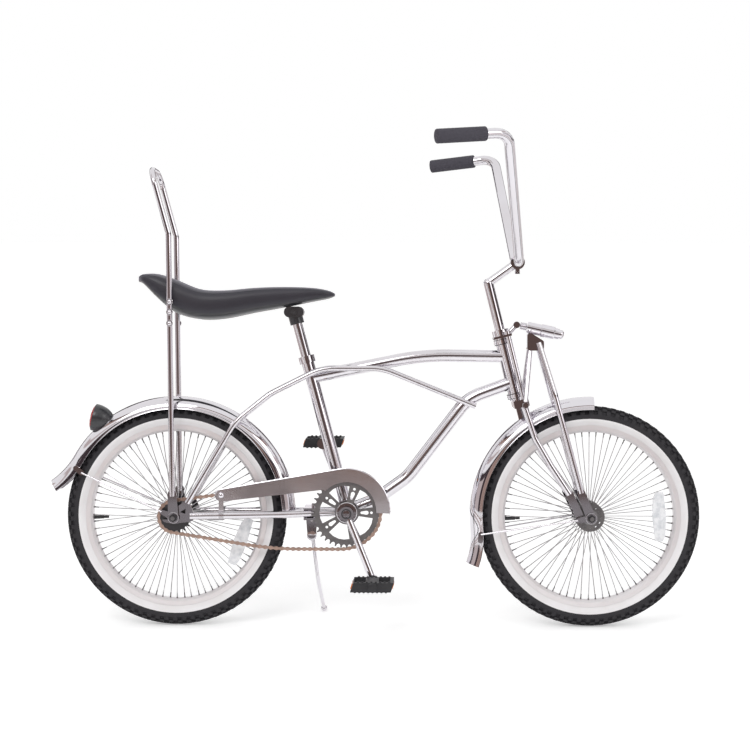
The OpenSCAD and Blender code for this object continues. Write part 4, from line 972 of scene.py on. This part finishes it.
def block(points, faces, size, matrix, taper):
    """A block whose outer face is smaller than its foot."""
    half = Vector(size) / 2
    corners = []
    for up, grow in ((-1, 1.0), (1, taper)):
        for s, t in ((-1, -1), (1, -1), (1, 1), (-1, 1)):
            corners.append(matrix @ Vector((s * half.x * grow, t * half.y * grow, up * half.z)))
    added(points, faces, corners, bands(4, 2) + ends(4, 2))


for tag, side in SIDES.items():
    centre = beside(CRANK + polar(CRANK_ARM, CRANK_ANGLES[tag]), side * PEDAL_Y)
    stand = BIKE @ Matrix.Translation(centre)
    points, faces = [], []
    for up in (1, -1):
        size = (*TREAD_BLOCK[:2], up * TREAD_BLOCK[2])
        for row in TREAD_ROWS:
            for k in range(8):
                place = (-34 + TREAD_STEP * k + up * 3.5, row, up * (PEDAL_HALF_T + 0.9))
                block(points, faces, size, Matrix.Translation(place), 0.75)
    piece("pedal_tread_" + tag, points, faces, stand, "pedal_" + tag, pedal_plastic, "pedal_plastic", 30)
    points, faces = [], []
    for end in (-1, 1):
        turn = Matrix.Rotation(math.radians(end * 90 + END_SLOPE), 4, "Y")
        block(points, faces, REFLECTOR, Matrix.Translation((end * REFLECTOR_X, 0, 0)) @ turn, 0.94)
    piece("pedal_reflectors_" + tag, points, faces, stand, "pedal_" + tag, amber, "pedal_plastic", 30)
print("tread blocks on a pedal:", 2 * 8 * len(TREAD_ROWS))

# %% [markdown]
# The bicycle stands on a plain pale floor in soft light. Chrome has no colour of its own, it only
# shows the room. So plain glowing cards, brown, dark and pale, stand in a ring round the bicycle, and
# strips lie on the floor. Only metal and gloss see them, as the streaks of a real studio.

# %% Floor, room and light
def plain_material(name):
    """A new material, its tree and its shader."""
    material = bpy.data.materials.new(name)
    material.use_nodes = True
    return material, material.node_tree, material.node_tree.nodes["Principled BSDF"]


def stage_piece(name, points, faces, material):
    """A piece of the room, which isn't part of the bicycle."""
    mesh = bpy.data.meshes.new(name)
    mesh.from_pydata(points, [], faces)
    mesh.materials.append(material)
    obj = bpy.data.objects.new(name, mesh)
    bpy.context.scene.collection.objects.link(obj)
    return obj


def seen_by(tree):
    """1 for rays of the camera, of gloss and of glass."""
    link = tree.links.new
    rays = node(tree, "ShaderNodeLightPath")
    first = node(tree, "ShaderNodeMath", operation="MAXIMUM")
    both = node(tree, "ShaderNodeMath", operation="MAXIMUM")
    link(rays.outputs["Is Camera Ray"], first.inputs[0])
    link(rays.outputs["Is Glossy Ray"], first.inputs[1])
    link(first.outputs[0], both.inputs[0])
    link(rays.outputs["Is Transmission Ray"], both.inputs[1])
    return both.outputs[0]


FLOOR = 30
FLOOR_GLOW = 0.31
floor_paint, tree, skin = plain_material("floor paint")
skin.inputs["Base Color"].default_value = (0.95, 0.95, 0.95, 1)
skin.inputs["Roughness"].default_value = 0.85
skin.inputs["Specular IOR Level"].default_value = 0.1
skin.inputs["Emission Color"].default_value = (1, 1, 1, 1)
lift = node(tree, "ShaderNodeMath", operation="MULTIPLY")
lift.inputs[1].default_value = FLOOR_GLOW
tree.links.new(seen_by(tree), lift.inputs[0])
tree.links.new(lift.outputs[0], skin.inputs["Emission Strength"])
corners = [(x * FLOOR, y * FLOOR, 0) for x, y in ((-1, -1), (1, -1), (1, 1), (-1, 1))]
stage_piece("floor", corners, [(0, 1, 2, 3)], floor_paint)


def card_paint(name, colour):
    material, tree, _ = plain_material(name)
    glow = node(tree, "ShaderNodeEmission")
    glow.inputs["Color"].default_value = (*colour, 1)
    tree.links.new(glow.outputs[0], tree.nodes["Material Output"].inputs["Surface"])
    return material


ROSE = card_paint("card rose", (0.42, 0.3, 0.26))
DUSK = card_paint("card dusk", (0.06, 0.045, 0.05))
PALE = card_paint("card pale", (0.9, 0.87, 0.9))
SAND = card_paint("card sand", (0.58, 0.5, 0.49))
# Each card of the room: its span in degrees from the camera's side, towards the bicycle's front,
# its lowest and highest edge, and its paint
CARDS = [
    (-26, 12, 0.1, 2.7, ROSE), (12, 26, 0.1, 2.7, DUSK), (26, 58, 0.1, 2.7, SAND), (58, 96, 0.1, 2.7, PALE),
    (96, 112, 0.1, 2.7, DUSK), (112, 180, 0.1, 1.6, PALE), (-44, -26, 0.1, 2.7, DUSK),
    (-84, -44, 0.1, 2.7, SAND), (-100, -84, 0.1, 2.7, DUSK), (-180, -100, 0.1, 1.6, PALE),
    (-100, 112, 2.7, 3.5, DUSK), (-180, -100, 1.6, 2.4, DUSK), (112, 180, 1.6, 2.4, DUSK),
    (-164, -146, 0.1, 6, DUSK), (146, 164, 0.1, 6, DUSK), (-100, 112, 4.6, 5.6, SAND),
    (-100, 112, 7.4, 8.6, ROSE), (-100, 112, 8.6, 9.4, DUSK)]
# Strips on the floor, each with its nearest and farthest reach
STRIPS = [(1.5, 1.8, DUSK), (2.3, 3.4, SAND), (4.4, 5.4, ROSE), (5.4, 5.9, DUSK)]
STRIP_STEPS = 60
CARD_R = 9.0


def mirrored(card):
    """Only metal and gloss see the cards."""
    card.visible_camera = False
    card.visible_diffuse = False
    card.visible_shadow = False


for index, (first, last, low_z, high_z, paint) in enumerate(CARDS):
    count = max(2, round((last - first) / 8))
    points = []
    for z in (low_z, high_z):
        for k in range(count + 1):
            a = math.radians(first + (last - first) * k / count)
            points.append((CARD_R * math.sin(a), -CARD_R * math.cos(a), z))
    faces = [(k, k + 1, count + 2 + k, count + 1 + k) for k in range(count)]
    mirrored(stage_piece("room_card_%d" % index, points, faces, paint))
for index, (near, far, paint) in enumerate(STRIPS):
    circle = [math.radians(360 * k / STRIP_STEPS) for k in range(STRIP_STEPS)]
    points = [(r * math.sin(a), -r * math.cos(a), 0.003) for r in (near, far) for a in circle]
    faces = [(k, (k + 1) % STRIP_STEPS, STRIP_STEPS + (k + 1) % STRIP_STEPS, STRIP_STEPS + k)
             for k in range(STRIP_STEPS)]
    mirrored(stage_piece("floor_strip_%d" % index, points, faces, paint))

# How bright the sky is as light, and as the camera and the metal see it
SKY_LIGHT, SKY_SEEN = 0.72, 1.0
world = bpy.data.worlds.new("studio")
bpy.context.scene.world = world
world.use_nodes = True
tree = world.node_tree
ground = tree.nodes["Background"]
ground.inputs["Color"].default_value = (1, 1, 1, 1)
strength = node(tree, "ShaderNodeMapRange")
strength.inputs["To Min"].default_value, strength.inputs["To Max"].default_value = SKY_LIGHT, SKY_SEEN
tree.links.new(seen_by(tree), strength.inputs["Value"])
tree.links.new(strength.outputs["Result"], ground.inputs["Strength"])


def lamp(name, place, size, power):
    """A soft lamp aimed at the middle of the bicycle."""
    light = bpy.data.lights.new(name, "AREA")
    light.energy = power
    light.shape = "RECTANGLE"
    light.size, light.size_y = size
    obj = bpy.data.objects.new(name, light)
    obj.location = place
    obj.rotation_euler = (Vector((0, 0, 0.5)) - Vector(place)).to_track_quat("-Z", "Y").to_euler()
    bpy.context.scene.collection.objects.link(obj)


lamp("key_light", (-1.6, -3.4, 3.6), (2.4, 1.8), 62)
lamp("fill_light", (3.0, -2.6, 2.4), (1.6, 2.4), 22)
print("cards and strips:", len(CARDS) + len(STRIPS))

# %% [markdown]
# The photograph was taken at about standing height, almost square to the right side, from a little
# under four metres.

# %% Camera
camera_data = bpy.data.cameras.new("camera")
camera_data.sensor_width = 36
camera_data.lens = 81.72
camera = bpy.data.objects.new("camera", camera_data)
EYE = Vector((0.068, -3.903, 0.986))
YAW, DIP = -0.0175, 0.107
look = Vector((math.sin(YAW) * math.cos(DIP), math.cos(YAW) * math.cos(DIP), -math.sin(DIP)))
camera.location = EYE
camera.rotation_euler = look.to_track_quat("-Z", "Y").to_euler()
bpy.context.scene.collection.objects.link(camera)
bpy.context.scene.camera = camera
bpy.context.scene.view_settings.view_transform = "Standard"
print("camera height:", round(EYE.z, 3))
